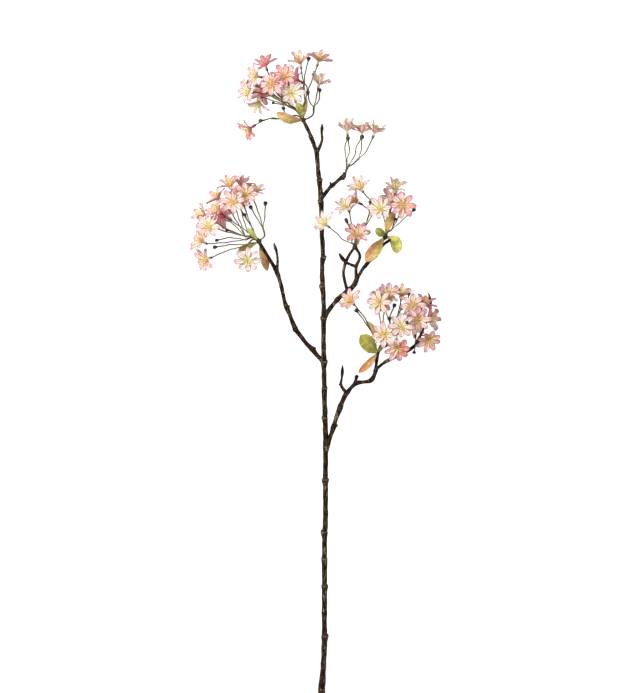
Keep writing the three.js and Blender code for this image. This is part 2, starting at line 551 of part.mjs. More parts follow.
// Stalks of one head: knob, stalks and buds are one grown piece.
function stalks(head, grow) {
  const pieces = [knob(head, grow), ...head.forks.map((_, number) => mainStalk(head, number, grow))];
  head.blooms.forEach((row, number) => {
    const axis = unit(row.facing);
    const end = throat(row, number).addScaledVector(axis, -(TUBE_LENGTH + STALK_GAP));
    pieces.push(stalk(head.forks[row.fork], row.via, end, axis, grow));
  });
  head.buds.forEach((row) => pieces.push(bud(head, row, grow)));
  return join(pieces);
}

// A petal's width at a share s of its length: narrow at the root, widest past the middle, and a
// rounded tip.
function petalWidth(s) {
  const spread = ROOT_WIDTH + (1 - ROOT_WIDTH) * Math.sin((Math.PI / 2) * Math.min(s / WIDEST, 1));
  const tip = Math.max((s - TIP_START) / (1 - TIP_START), 0);
  return PETAL_WIDTH * spread * Math.sqrt(1 - tip ** TIP_POWER);
}

// The corners of one petal in the bloom's own frame, where the throat is at 0 and the bloom faces
// +Z. Its middle follows a bent line out of the throat. At each station the petal has a corner on
// either edge and one on the keel of its back, and it ends in its tip.
function petalCorners(bloomLift, number, k) {
  const angle = ((k + TURN_SPREAD * wave(3 * number + 5 * k)) / PETALS) * 2 * Math.PI;
  const span = PETAL_SPAN * (1 + SPAN_SPREAD * wave(number + 3 * k));
  const lift = bloomLift * (1 + LIFT_SPREAD * wave(2 * number + 7 * k + 1));
  const reach = Math.sqrt(span ** 2 - lift ** 2);
  const line = new THREE.QuadraticBezierCurve(
    new THREE.Vector2(...PETAL_ROOT),
    new THREE.Vector2(...PETAL_BEND),
    new THREE.Vector2(reach, lift),
  );
  const out = new THREE.Vector3(Math.cos(angle), Math.sin(angle), 0);
  const side = new THREE.Vector3(-Math.sin(angle), Math.cos(angle), 0);
  const stations = PETAL_STATIONS.map((s) => {
    const middle = line.getPoint(s);
    const along = line.getTangent(s);
    const place = out.clone().multiplyScalar(middle.x).setZ(middle.y);
    const front = out.clone().multiplyScalar(-along.y).setZ(along.x);
    const edge = place.clone().addScaledVector(front, PETAL_CUP);
    const half = (petalWidth(s) / 2) * (reach / span);
    return [
      edge.clone().addScaledVector(side, -half),
      edge.clone().addScaledVector(side, half),
      place.clone().addScaledVector(front, -PETAL_KEEL),
    ];
  });
  return [...stations.flat(), out.clone().multiplyScalar(reach).setZ(lift)];
}

// Where a bloom's throat is. A bloom that settles is lowered or raised until its lowest petal lies on
// the surface.
function throat(row, number) {
  const place = vector(row.at);
  return row.settle ? place.setZ(-bloomAtZero(row, number).boundingBox().min[2]) : place;
}

const bloom = (row, number) => bloomAtZero(row, number).translate(throat(row, number).toArray());

// A bloom with its throat at 0: a tube with a petal on each edge of its rim, and stamens that stand
// out of every second edge. The petals' backs run down into the tube, so all of it is one skin.
function bloomAtZero({ facing, lift }, number) {
  const corners = [];
  const faces = [];
  const ring = (height, radius, every) => {
    const start = corners.length;
    for (let k = 0; k < PETALS; k += every) {
      const angle = ((k - 0.5) / PETALS) * 2 * Math.PI;
      corners.push(new THREE.Vector3(radius * Math.cos(angle), radius * Math.sin(angle), height));
    }
    return (k) => start + (k % PETALS) / every;
  };
  const foot = ring(-TUBE_LENGTH, TUBE_FOOT, 2);
  const waist = ring(-WAIST_DEPTH, TUBE_WAIST, 1);
  const rim = ring(0, TUBE_RIM, 1);
  const heart = corners.push(new THREE.Vector3(0, 0, 1)) - 1;
  for (let k = 2; k + 2 < PETALS; k += 2) faces.push(foot(0), foot(k + 2), foot(k));
  for (let k = 0; k < PETALS; k += 1) {
    if (k % 2 === 0) {
      faces.push(foot(k), foot(k + 2), waist(k + 1), foot(k), waist(k + 1), waist(k));
    } else {
      faces.push(foot(k + 1), waist(k + 1), waist(k));
    }
    const [a, b] = [rim(k), rim(k + 1)];
    const first = corners.length;
    corners.push(...petalCorners(lift, number, k));
    const [a1, b1, keel1, a2, b2, keel2, tip] = [0, 1, 2, 3, 4, 5, 6].map((n) => first + n);
    faces.push(waist(k), waist(k + 1), keel1, waist(k + 1), b, keel1, a, waist(k), keel1);
    faces.push(b, b1, keel1, keel1, b1, b2, keel1, b2, keel2, keel2, b2, tip);
    faces.push(a1, a, keel1, a1, keel1, keel2, a1, keel2, a2, a2, keel2, tip);
    faces.push(a, a1, b1, a, b1, b, a1, a2, b2, a1, b2, b1, a2, tip, b2);
    if (k % 2 > 0) {
      faces.push(a, b, heart);
    } else {
      const outward = corners[a].clone().add(corners[b]).setZ(0);
      const end = corners.push(outward.setLength(STAMEN_SPREAD).setZ(lift + STAMEN_RISE)) - 1;
      faces.push(a, b, end, b, heart, end, heart, a, end);
    }
  }
  const axis = unit(facing);
  const turn = new THREE.Matrix4().makeBasis(...squareTo(axis), axis);
  return solid(corners.map((corner) => corner.applyMatrix4(turn)), faces);
}

// A leaf: its midrib bends through three points, it is widest about the middle, and both halves are
// tilted up from the rib. The stalk-like foot is narrow.
function leaf({ rib, width, facing }, grow) {
  const curve = new THREE.CatmullRomCurve3(rib.map(vector));
  const face = unit(facing);
  const rings = LEAF_OUTLINE.map(([s, share]) => {
    const along = curve.getTangent(s);
    const side = along.clone().cross(face).normalize();
    const up = side.clone().cross(along).normalize();
    const middle = curve.getPoint(s);
    if (s === 0) middle.addScaledVector(along, -grow);
    const half = (share * width) / 2 + grow;
    const raise = LEAF_FOLD * width * share;
    const thick = LEAF_THICKNESS / 2 + grow;
    return [
      middle.clone().addScaledVector(side, half).addScaledVector(up, raise),
      middle.clone().addScaledVector(up, thick),
      middle.clone().addScaledVector(side, -half).addScaledVector(up, raise),
      middle.clone().addScaledVector(up, -thick),
    ];
  });
  const end = curve.getPoint(1).addScaledVector(curve.getTangent(1), grow);
  return skin([...rings, [end]]);
}

const WOOD_FINISH = { color: 0x3a2a1f, roughness: 0.85, metalness: 0 };
const STALK_FINISH = { color: 0x6c6b45, roughness: 0.7, metalness: 0 };
const PETAL_FINISH = { color: 0xf0cdc4, roughness: 0.6, metalness: 0 };
const LEAF_FINISH = { roughness: 0.55, metalness: 0 };

const branch = new THREE.Group();

function addPiece(name, piece, finish) {
  const { vertProperties, triVerts } = piece.getMesh();
  const geometry = new THREE.BufferGeometry();
  geometry.setAttribute('position', new THREE.BufferAttribute(vertProperties, 3));
  geometry.setIndex(new THREE.BufferAttribute(triVerts, 1));
  geometry.computeVertexNormals();
  const mesh = new THREE.Mesh(geometry, new THREE.MeshStandardMaterial(finish));
  mesh.name = name;
  branch.add(mesh);
}

// Every piece is cut back from what was placed before it by the gap, so none runs into another.
const heads = Object.entries(HEADS);
const knobSpace = join(heads.map(([, head]) => knob(head, GAP)));
addPiece('wood', largest(wood(0).subtract(knobSpace)), WOOD_FINISH);

let taken = wood(GAP);
heads.forEach(([name, head]) => {
  const body = stalks(head, 0);
  addPiece(`${name}_stalks`, body, STALK_FINISH);
  taken = taken.add(stalks(head, GAP));
});
Object.entries(LEAVES).forEach(([name, row]) => {
  addPiece(name, largest(leaf(row, 0).subtract(taken)), { ...LEAF_FINISH, color: row.color });
});
Object.values(LEAVES).forEach((row) => { taken = taken.add(leaf(row, GAP)); });

// Blooms of a head whose petals run into each other are one body.
heads.forEach(([name, head]) => {
  const whole = join(head.blooms.map(bloom)).subtract(taken);
  const bodies = whole.decompose().filter((body) => body.volume() > SCRAP_VOLUME);
  bodies.sort((a, b) => b.volume() - a.volume());
  bodies.forEach((body, i) => addPiece(`${name}_blooms_${i + 1}`, body, PETAL_FINISH));
});

export default branch;
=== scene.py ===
import bpy
import numpy as np
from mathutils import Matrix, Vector


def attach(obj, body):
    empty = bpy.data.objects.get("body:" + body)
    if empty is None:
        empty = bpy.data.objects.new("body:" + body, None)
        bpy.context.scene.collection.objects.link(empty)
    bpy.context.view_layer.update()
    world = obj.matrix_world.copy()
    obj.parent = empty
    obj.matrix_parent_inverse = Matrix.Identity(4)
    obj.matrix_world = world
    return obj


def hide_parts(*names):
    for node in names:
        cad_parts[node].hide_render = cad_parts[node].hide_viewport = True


# A flowering branch about 1.05 m long, cut at its foot and lying on its back. One woody branch
# carries seven heads of starry eight-petalled blooms on thin forked stalks, with closed buds among
# them and a few young leaves below the larger heads. Metres, +Z up, the branch points along +Y.
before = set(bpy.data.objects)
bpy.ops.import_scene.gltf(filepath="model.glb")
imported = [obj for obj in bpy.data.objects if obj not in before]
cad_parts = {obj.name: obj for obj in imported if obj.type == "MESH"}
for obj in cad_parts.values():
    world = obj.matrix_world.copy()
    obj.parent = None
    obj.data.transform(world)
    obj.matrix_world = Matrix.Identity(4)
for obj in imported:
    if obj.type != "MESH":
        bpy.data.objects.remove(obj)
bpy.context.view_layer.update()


# Wood ------------------------------------------------------------------------------------------
# One slim stem, cut at its foot, and the twigs that grew out of it, with slim resting buds at their
# ends. The bark is dark brown and grooved lengthwise, it thickens into a ring wherever a leaf has
# sat, and the cut shows the pale wood inside.

FOOT_Y = -0.522
FOOT_RADIUS = 0.0056
STEM_RISE = 0.0606  # how steeply the stem climbs from the surface
STEM_SIDES = 32
TWIG_SIDES = 20
SIDE_BUD_SIDES = 12
SIDE_BUD_RINGS = 13
SIDE_BUD_REACH = (-1.3, 1.9)  # where one starts, in the wood, and ends, as shares of its radius
SKIN_STEP = 0.0009  # between the sections of a bark skin
CUT_RINGS = (0.3, 0.84, 0.9)  # of the cut face, as shares of the foot's radius; the last is bark
RING_BELOW = 0.011  # how far the stem swells below a ring on it, and above
RING_ABOVE = 0.002
SCAR_BREADTH = 0.0008  # of the pale scar just below the top of a ring
BARK_DEPTH = 0.0005  # height of the bark's ridges on wood of the next radius
BARK_RADIUS = 0.003
KNOTTINESS = 0.07  # by what share the wood's radius differs along it
LUMP_HEIGHT = 0.0007  # of the bumps round a ring or a swelling
SWELLING = 0.2  # by what share a twig is thicker than usual where it is wholly swollen
FLARE = 0.0011  # how much a twig's root spreads where it leaves the wood that carries it
FLARE_REACH = 0.0035
SCALY_LENGTH = 0.016  # of a resting bud's end, which scales cover
SCALE_LENGTH = 0.0028  # of each of these overlapping scales

# Centre x, centre y and radius of the stem. Its height follows from y.
STEM = [
    (0.01, -0.522, 0.0056), (0.01, -0.502, 0.0055), (0.012, -0.479, 0.0048), (0.013, -0.457, 0.0044),
    (0.014, -0.438, 0.0043), (0.0145, -0.374, 0.0042), (0.0145, -0.294, 0.0042), (0.015, -0.254, 0.0042),
    (0.016, -0.23, 0.0041), (0.016, -0.166, 0.0041), (0.0165, -0.118, 0.0042), (0.0155, -0.07, 0.0041),
    (0.0145, -0.03, 0.004), (0.0135, 0.018, 0.004), (0.013, 0.066, 0.0039), (0.0135, 0.106, 0.0038),
    (0.012, 0.138, 0.0038), (0.0105, 0.17, 0.0036), (0.012, 0.199, 0.0036), (0.0105, 0.226, 0.0037),
    (0.0095, 0.266, 0.0037), (0.0085, 0.286, 0.0037), (0.0065, 0.311, 0.0037), (0.004, 0.334, 0.0036),
    (0.0015, 0.359, 0.0034), (-0.004, 0.375, 0.0032), (-0.009, 0.388, 0.0031), (-0.013, 0.396, 0.0029),
    (-0.0175, 0.406, 0.0026), (-0.0195, 0.41, 0.0025),
]
# Rings: y, radius, and how far the bud scar on the ring pushes its middle towards +X.
COLLARS = [
    (-0.502, 0.006, 0), (-0.416, 0.0064, 0.0009), (-0.336, 0.0062, 0.0004), (-0.292, 0.0052, 0),
    (-0.249, 0.0061, -0.0008), (-0.165, 0.006, 0.0002), (-0.112, 0.0059, 0.0006), (-0.066, 0.0055, -0.0006),
    (-0.018, 0.0054, 0.0005), (0.024, 0.0055, 0.0006), (0.094, 0.0054, -0.0006), (0.145, 0.0053, -0.0008),
    (0.191, 0.0054, 0.001), (0.281, 0.0054, -0.0006), (0.315, 0.0056, 0.0003), (0.362, 0.0047, 0.0005),
    (0.384, 0.004, -0.0005),
]
# Twigs, each a list of x, y, z and radius. Those that end in a resting bud are named for it.
TWIGS = {
    "to_left": [
        (0.013, 0.023, 0.038, 0.0039), (0, 0.037, 0.039, 0.0036), (-0.006, 0.0445, 0.0395, 0.0046),
        (-0.012, 0.05, 0.04, 0.0036), (-0.026, 0.0675, 0.0407, 0.0036), (-0.0315, 0.075, 0.041, 0.0046),
        (-0.036, 0.085, 0.0416, 0.0034), (-0.0425, 0.102, 0.0427, 0.0036), (-0.046, 0.11, 0.0432, 0.0043),
        (-0.05, 0.123, 0.0438, 0.0033), (-0.056, 0.149, 0.045, 0.0032), (-0.062, 0.167, 0.046, 0.0036),
        (-0.073, 0.187, 0.046, 0.0028), (-0.086, 0.208, 0.0475, 0.0028), (-0.091, 0.217, 0.048, 0.0027),
    ],
    "left_bud": [
        (-0.062, 0.168, 0.046, 0.0026), (-0.0605, 0.184, 0.048, 0.0022), (-0.062, 0.199, 0.05, 0.0019),
        (-0.064, 0.205, 0.051, 0.0025), (-0.0665, 0.214, 0.052, 0.0007),
    ],
    "to_lower": [
        (0.0165, -0.118, 0.0295, 0.0042), (0.02, -0.107, 0.03, 0.0039), (0.026, -0.09, 0.031, 0.0036),
        (0.029, -0.081, 0.0316, 0.0045), (0.032, -0.07, 0.0322, 0.0036), (0.0375, -0.055, 0.033, 0.0042),
        (0.04, -0.048, 0.0336, 0.0045), (0.043, -0.04, 0.0342, 0.0037), (0.05, -0.027, 0.035, 0.0041),
        (0.061, -0.014, 0.036, 0.0033), (0.068, -0.01, 0.037, 0.0036), (0.08, -0.0085, 0.0375, 0.0028),
        (0.089, -0.006, 0.038, 0.0039), (0.094, 0.002, 0.0385, 0.0031), (0.098, 0.012, 0.039, 0.0036),
    ],
    "lower_thorn": [
        (0.037, -0.056, 0.033, 0.0022), (0.041, -0.052, 0.0335, 0.0016), (0.044, -0.05, 0.034, 0.0006),
    ],
    "lower_left_bud": [
        (0.049, -0.026, 0.035, 0.0028), (0.041, -0.014, 0.036, 0.0025), (0.042, -0.003, 0.037, 0.0017),
        (0.043, 0.008, 0.038, 0.0025), (0.0435, 0.018, 0.039, 0.0006),
    ],
    "lower_short_bud": [
        (0.063, -0.011, 0.036, 0.0022), (0.065, -0.004, 0.037, 0.0021), (0.066, 0, 0.0375, 0.003),
        (0.066, 0.003, 0.038, 0.001),
    ],
    "lower_up": [
        (0.095, 0.006, 0.0386, 0.0022), (0.098, 0.024, 0.04, 0.0027), (0.1, 0.038, 0.041, 0.0028),
        (0.106, 0.046, 0.042, 0.0025), (0.112, 0.051, 0.043, 0.0023),
    ],
    "lower_right": [
        (0.094, 0.008, 0.039, 0.0023), (0.107, 0.02, 0.04, 0.0026), (0.119, 0.027, 0.042, 0.003),
        (0.136, 0.035, 0.044, 0.0024), (0.152, 0.044, 0.046, 0.0028), (0.164, 0.054, 0.047, 0.0022),
    ],
    "lower_far_bud": [
        (0.161, 0.051, 0.047, 0.0022), (0.172, 0.074, 0.042, 0.0018), (0.183, 0.104, 0.034, 0.0017),
        (0.184, 0.122, 0.032, 0.0024), (0.181, 0.134, 0.033, 0.0006),
    ],
    "to_right": [
        (0.013, 0.091, 0.042, 0.0038), (0.022, 0.107, 0.0438, 0.0037), (0.031, 0.1185, 0.0446, 0.0034),
        (0.0345, 0.1225, 0.045, 0.0045), (0.04, 0.128, 0.0453, 0.0035), (0.05, 0.136, 0.046, 0.0039),
        (0.054, 0.139, 0.0464, 0.0044), (0.062, 0.147, 0.047, 0.0039), (0.068, 0.161, 0.048, 0.0036),
    ],
    "right_inner": [
        (0.066, 0.156, 0.0475, 0.0024), (0.065, 0.174, 0.049, 0.0027), (0.071, 0.193, 0.05, 0.0024),
        (0.063, 0.208, 0.052, 0.0022),
    ],
    "right_loop": [
        (0.051, 0.138, 0.046, 0.0026), (0.046, 0.156, 0.047, 0.0023), (0.045, 0.17, 0.048, 0.0024),
        (0.051, 0.189, 0.05, 0.0025), (0.063, 0.208, 0.052, 0.0021),
    ],
    "right_cross_bud": [
        (0.065, 0.176, 0.049, 0.002), (0.05, 0.182, 0.0495, 0.0024), (0.043, 0.189, 0.051, 0.0031),
        (0.038, 0.197, 0.052, 0.0012),
    ],
    "right_outer": [
        (0.065, 0.154, 0.048, 0.0025), (0.075, 0.171, 0.0475, 0.0029), (0.083, 0.181, 0.047, 0.0032),
        (0.094, 0.196, 0.0475, 0.0025), (0.104, 0.212, 0.049, 0.0024), (0.112, 0.224, 0.05, 0.0023),
    ],
    "right_short_bud": [
        (0.082, 0.18, 0.047, 0.002), (0.09, 0.186, 0.048, 0.0015), (0.098, 0.192, 0.049, 0.0016),
        (0.1, 0.193, 0.049, 0.0005),
    ],
    "right_front_bud": [
        (0.1, 0.206, 0.0485, 0.0016), (0.103, 0.203, 0.055, 0.0016), (0.11, 0.212, 0.059, 0.0022),
        (0.119, 0.218, 0.061, 0.0018), (0.121, 0.219, 0.061, 0.0006),
    ],
    "to_corner": [
        (0.009, 0.285, 0.0544, 0.0037), (0.018, 0.296, 0.055, 0.003), (0.024, 0.303, 0.0554, 0.003),
        (0.0265, 0.3055, 0.0556, 0.0039), (0.031, 0.309, 0.0558, 0.0029), (0.038, 0.315, 0.0562, 0.0029),
        (0.0425, 0.3185, 0.0565, 0.004), (0.0455, 0.3215, 0.0568, 0.0026),
    ],
    "top_bud": [
        (0.002, 0.358, 0.059, 0.0026), (0.008, 0.37, 0.06, 0.0025), (0.0105, 0.379, 0.0605, 0.0023),
        (0.01, 0.39, 0.061, 0.0018), (0.0105, 0.397, 0.061, 0.0025), (0.0105, 0.404, 0.0615, 0.0007),
    ],
}
# Side buds, which sit tight against a twig: middle, the way each points, and radius.
SIDE_BUDS = [
    ((-0.0102, 0.0462, 0.0408), (-0.55, 0.8, 0.2), 0.0021),
    ((-0.0012, 0.0438, 0.0405), (0.1, 0.95, 0.2), 0.0021),
    ((0.0398, -0.0138, 0.0368), (-0.65, 0.7, 0.25), 0.0018),
    ((0.0335, -0.0795, 0.0325), (0.5, 0.8, 0.2), 0.002),
    ((0.0572, 0.1382, 0.047), (0.85, 0.4, 0.2), 0.002),
    ((0.0446, 0.3158, 0.057), (0.8, 0.5, 0.2), 0.0018),
    ((0.0242, 0.3085, 0.0565), (-0.2, 0.95, 0.2), 0.0017),
    ((-0.0345, 0.0735, 0.0415), (-0.7, 0.6, 0.2), 0.0018),
    ((-0.0425, 0.1115, 0.0437), (0.3, 0.9, 0.2), 0.0016),
]


def spline(rows, step):
    """A centripetal Catmull-Rom curve through rows of numbers whose first three are a place. Knots lie
    apart by the square root of the distance between places, and each span is the cubic Hermite curve
    whose end slopes are central differences over the knots. It is sampled about every step."""
    rows = np.asarray(rows, float)
    reach = np.linalg.norm(np.diff(rows[:, :3], axis=0), axis=1)
    knots = np.concatenate([[0], np.cumsum(np.sqrt(reach))])
    slopes = np.gradient(rows, knots, axis=0)
    count = max(int(reach.sum() / step), 3) + 1
    at = np.linspace(0, knots[-1], count)
    span = np.clip(np.searchsorted(knots, at, side="right") - 1, 0, len(knots) - 2)
    width = (knots[span + 1] - knots[span])[:, None]
    u = (at - knots[span])[:, None] / width
    start = (2 * u**3 - 3 * u**2 + 1) * rows[span] + (u**3 - 2 * u**2 + u) * width * slopes[span]
    end = (3 * u**2 - 2 * u**3) * rows[span + 1] + (u**3 - u**2) * width * slopes[span + 1]
    return start + end


def unit(vectors):
    """Vectors of length one along the last axis."""
    vectors = np.asarray(vectors, float)
    return vectors / np.linalg.norm(vectors, axis=-1, keepdims=True)


def round_turn(sides):
    """The angle of each side of a closed ring."""
    return np.linspace(0, 2 * np.pi, sides, endpoint=False)


def carried_frame(path):
    """Unit tangents of a path and two normals carried along it without twist: each first normal is the
    one before it made square to the next tangent, and the second is tangent x first."""
    tangent = unit(np.gradient(path, axis=0))
    normal = np.eye(3)[np.argmin(np.abs(tangent[0]))]
    normals = np.empty_like(tangent)
    for i, along in enumerate(tangent):
        normal = unit(normal - along * (normal @ along))
        normals[i] = normal
    return tangent, normals, np.cross(tangent, normals)


def distance_along(path):
    """Distance from the start of a path to each of its points."""
    return np.concatenate([[0], np.cumsum(np.linalg.norm(np.diff(path, axis=0), axis=1))])


def round_skin(path, radius):
    """Rings about a path: point = path + radius (first normal cos a + second normal sin a). radius is
    an array of rings x sides. Returns rings x sides x 3."""
    angle = round_turn(radius.shape[1])[:, None]
    _, first, second = carried_frame(path)
    spoke = first[:, None] * np.cos(angle) + second[:, None] * np.sin(angle)
    return path[:, None] + spoke * radius[..., None]


class Skins:
    """Closed skins gathered into one mesh. A skin is an array of rings, [..., ring, point, xyz]:
    neighbouring rings are joined by quads and each end ring by triangles to its middle. Every value
    given with it is an attribute with one number for each point."""

    def __init__(self):
        self.places = []
        self.corners = []
        self.values = {}
        self.count = 0

    def add(self, rings, **values):
        """Another skin, or several of one size."""
        n, m = rings.shape[-3:-1]
        grid = rings.reshape(-1, n, m, 3)
        self.places.append(self._with_middles(grid).reshape(-1, 3))
        for name, value in values.items():
            spread = np.broadcast_to(value, rings.shape[:-1]).reshape(-1, n, m, 1)
            self.values.setdefault(name, []).append(self._with_middles(spread).reshape(-1))
        ring = np.arange(n * m).reshape(n, m)
        here, there = ring[:-1], ring[1:]
        quads = np.stack([here, np.roll(here, -1, 1), np.roll(there, -1, 1), there], -1).reshape(-1, 4)
        foot = np.stack([np.roll(ring[0], -1), ring[0], np.full(m, n * m)], -1)
        top = np.stack([ring[-1], np.roll(ring[-1], -1), np.full(m, n * m + 1)], -1)
        starts = self.count + np.arange(len(grid))[:, None, None] * (n * m + 2)
        self.corners.append((quads[None] + starts).reshape(-1, 4))
        self.corners.append((np.concatenate([foot, top])[None] + starts).reshape(-1, 3))
        self.count += len(grid) * (n * m + 2)

    @staticmethod
    def _with_middles(grid):
        """The points of each skin, followed by the middles of its first and its last ring."""
        flat = grid.reshape(len(grid), -1, grid.shape[-1])
        return np.concatenate([flat, grid[:, :1].mean(2), grid[:, -1:].mean(2)], axis=1)

    def piece(self, name, material, nodes=()):
        """One object at the origin, which rides on the branch's body and stands for the CAD nodes
        named."""
        made = self.mesh_object(name, material)
        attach(made, "root")
        if nodes:
            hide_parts(*nodes)

    def mesh_object(self, name, material):
        """The gathered skins as one mesh on an object at the origin."""
        mesh = bpy.data.meshes.new(name)
        sizes = np.concatenate([np.full(len(faces), faces.shape[1]) for faces in self.corners])
        corners = np.concatenate([faces.reshape(-1) for faces in self.corners])
        mesh.vertices.add(self.count)
        mesh.vertices.foreach_set("co", np.concatenate(self.places).astype(np.float32).reshape(-1))
        mesh.loops.add(len(corners))
        mesh.loops.foreach_set("vertex_index", corners.astype(np.int32))
        mesh.polygons.add(len(sizes))
        starts = np.concatenate([[0], np.cumsum(sizes)[:-1]])
        mesh.polygons.foreach_set("loop_start", starts.astype(np.int32))
        mesh.polygons.foreach_set("loop_total", sizes.astype(np.int32))
        mesh.update(calc_edges=True)
        mesh.validate()
        mesh.shade_smooth()
        for key, parts in self.values.items():
            attribute = mesh.attributes.new(key, "FLOAT", "POINT")
            attribute.data.foreach_set("value", np.concatenate(parts).astype(np.float32))
        mesh.materials.append(material)
        made = bpy.data.objects.new(name, mesh)
        bpy.context.scene.collection.objects.link(made)
        return made


def math_node(operation, reflected=False):
    """An operator on values that adds a Math node. Reflected, its second term is the value."""
    def operate(value, other):
        terms = {0: other, 1: value} if reflected else {0: value, 1: other}
        return value.finish.node("ShaderNodeMath", {"operation": operation}, terms)
    return operate


class Value:
    """A socket of a material's node. Maths on it adds nodes to the material."""

    __add__ = __radd__ = math_node("ADD")
    __mul__ = __rmul__ = math_node("MULTIPLY")
    __sub__ = math_node("SUBTRACT")
    __rsub__ = math_node("SUBTRACT", reflected=True)
    __pow__ = math_node("POWER")

    def __init__(self, finish, socket):
        self.finish = finish
        self.socket = socket

    def between(self, low, high):
        """0 where the value is low, 1 where it is high, smooth between."""
        settings = {"interpolation_type": "SMOOTHSTEP", "clamp": True}
        return self.finish.node("ShaderNodeMapRange", settings, {0: self, 1: low, 2: high})


def screen(red, green, blue):
    """A colour as seen on a screen, 0 to 255, as the scene-linear colour that nodes take."""
    share = np.array([red, green, blue]) / 255
    linear = np.where(share <= 0.04045, share / 12.92, ((share + 0.055) / 1.055) ** 2.4)
    return (*linear, 1.0)


class Finish:
    """A material: its Principled shader's fixed numbers, given by the names of its sockets, are set at
    once, and node() adds the rest. A colour is a value or three numbers for screen()."""

    def __init__(self, name, fixed):
        self.material = bpy.data.materials.new(name)
        self.material.use_nodes = True
        self.tree = self.material.node_tree
        self.shader = self.tree.nodes["Principled BSDF"]
        for key, number in fixed.items():
            self.shader.inputs[key].default_value = number

    def node(self, kind, settings=None, inputs=None, output=0):
        """A node of this kind, with its settings made first and then its sockets' values or links."""
        made = self.tree.nodes.new(kind)
        for key, setting in (settings or {}).items():
            setattr(made, key, setting)
        for key, value in (inputs or {}).items():
            if isinstance(value, Value):
                self.tree.links.new(value.socket, made.inputs[key])
            else:
                made.inputs[key].default_value = value
        return Value(self, made.outputs[output])

    def attributes(self, *names):
        """The mesh's attributes of these names."""
        return [self.node("ShaderNodeAttribute", {"attribute_name": name}, output="Fac") for name in names]

    def noise(self, scale, detail, stretch=(1, 1, 1), where=None):
        """Noise on Object coordinates stretched by a scale along each axis, or on another place."""
        if where is None:
            origin = self.node("ShaderNodeTexCoord", output="Object")
            where = self.node("ShaderNodeMapping", None, {"Vector": origin, "Scale": stretch})
        return self.node("ShaderNodeTexNoise", None,
                         {"Vector": where, "Scale": scale, "Detail": detail, "Roughness": 0.55})

    def mix(self, share, first, second):
        """Colours mixed by a share: 0 is the first, 1 the second."""
        first, second = (tone if isinstance(tone, Value) else screen(*tone) for tone in (first, second))
        settings = {"data_type": "RGBA", "blend_type": "MIX", "clamp_factor": True}
        return self.node("ShaderNodeMix", settings, {0: share, 6: first, 7: second}, output=2)

    def layers(self, colour, *coats):
        """A colour with coats laid over it in turn, each a share and a colour."""
        for share, coat in coats:
            colour = self.mix(share, colour, coat)
        return colour

    def use(self, colour, roughness, relief, depth, strength):
        """Values for the shader's base colour and roughness, and for a bump that is depth deep."""
        bump = {"Height": relief, "Distance": depth, "Strength": strength}
        normal = self.node("ShaderNodeBump", None, bump)
        for key, value in {"Base Color": colour, "Roughness": roughness, "Normal": normal}.items():
            self.tree.links.new(value.socket, self.shader.inputs[key])


def ring_swelling(along, ring):
    """A ring's swelling, 1 at the ring. Below it (1 - d / RING_BELOW)^1.2 and above it
    (1 - d / RING_ABOVE)^0.6, where d is the distance from the ring."""
    below = np.clip(1 + (along - ring) / RING_BELOW, 0, 1) ** 1.2
    above = np.clip(1 - (along - ring) / RING_ABOVE, 0, 1) ** 0.6
    return np.where(along < ring, below, above)


def bark(along, angle):
    """Relief of the bark, from -1 to about 1, at a distance l and an angle a. Ridges run lengthwise and
    wander round the wood by w = 0.9 sin(l / 19 mm) + 0.6 sin(l / 7.1 mm + 1), and cross swellings break
    them up: sin(5a + w) + 0.7 sin(9a - 1.7w + 2) + 0.9 sin(l / 3.3 mm + 2 cos(a - w)), over 2.6."""
    wander = 0.9 * np.sin(along / 0.019) + 0.6 * np.sin(along / 0.0071 + 1)
    ridges = np.sin(5 * angle + wander) + 0.7 * np.sin(9 * angle - 1.7 * wander + 2)
    return (ridges + 0.9 * np.sin(along / 0.0033 + 2 * np.cos(angle - wander))) / 2.6


def lumps(along, angle):
    """Bumps a few millimetres wide, from 0 to 1: (sin(m + 2 cos a) sin(1.5 m + 3 sin a))^2, where m is
    l / 1.3 mm."""
    turn = along / 0.0013
    return (np.sin(turn + 2 * np.cos(angle)) * np.sin(1.5 * turn + 3 * np.sin(angle))) ** 2


def knots(along):
    """Slow swellings along the wood, from -1 to 1: sin(l / 6.1 mm + 1) times sin(l / 14.7 mm)."""
    return np.sin(along / 0.0061 + 1) * np.sin(along / 0.0147)


def bark_skin(path, radius, sides, end_bud, swollen):
    """A bark-covered length: the radius of every point is the path's radius, more or less by its knots,
    plus the bark's relief, and bumps where the wood is swollen, 0 to 1 along it. Towards the end of a
    resting bud the bark gives way to scales, each a step that tapers. The path's first x sets off the
    patterns, so that no two lengths look alike. Also returns how rough and how scaly each point is."""
    along = distance_along(path)[:, None]
    angle = round_turn(sides)[None]
    relief = bark(along + 7 * path[0, 0], angle)
    lumpy = lumps(along + path[0, 0], angle)
    to_end = along[-1] - along
    scaly = np.clip(1 - to_end / SCALY_LENGTH, 0, 1) * end_bud
    barky = 1 - scaly
    scales = 1 - np.mod(to_end / SCALE_LENGTH + 0.5 * np.sin(angle * 2), 1)
    depth = BARK_DEPTH * np.clip(radius[:, None] / BARK_RADIUS, 0.2, 1.1)
    knotty = radius[:, None] * (1 + KNOTTINESS * knots(along + 3 * path[0, 0]) * barky)
    bumps = LUMP_HEIGHT * (lumpy - 0.3) * swollen[:, None]
    spread = knotty + depth * (relief * barky + 1.3 * scales * scaly) + bumps * barky
    rough = np.clip(relief + swollen[:, None] * (lumpy * 2 - 0.6), -1, 1.4)
    return round_skin(path, spread), rough, scaly * np.ones_like(spread)


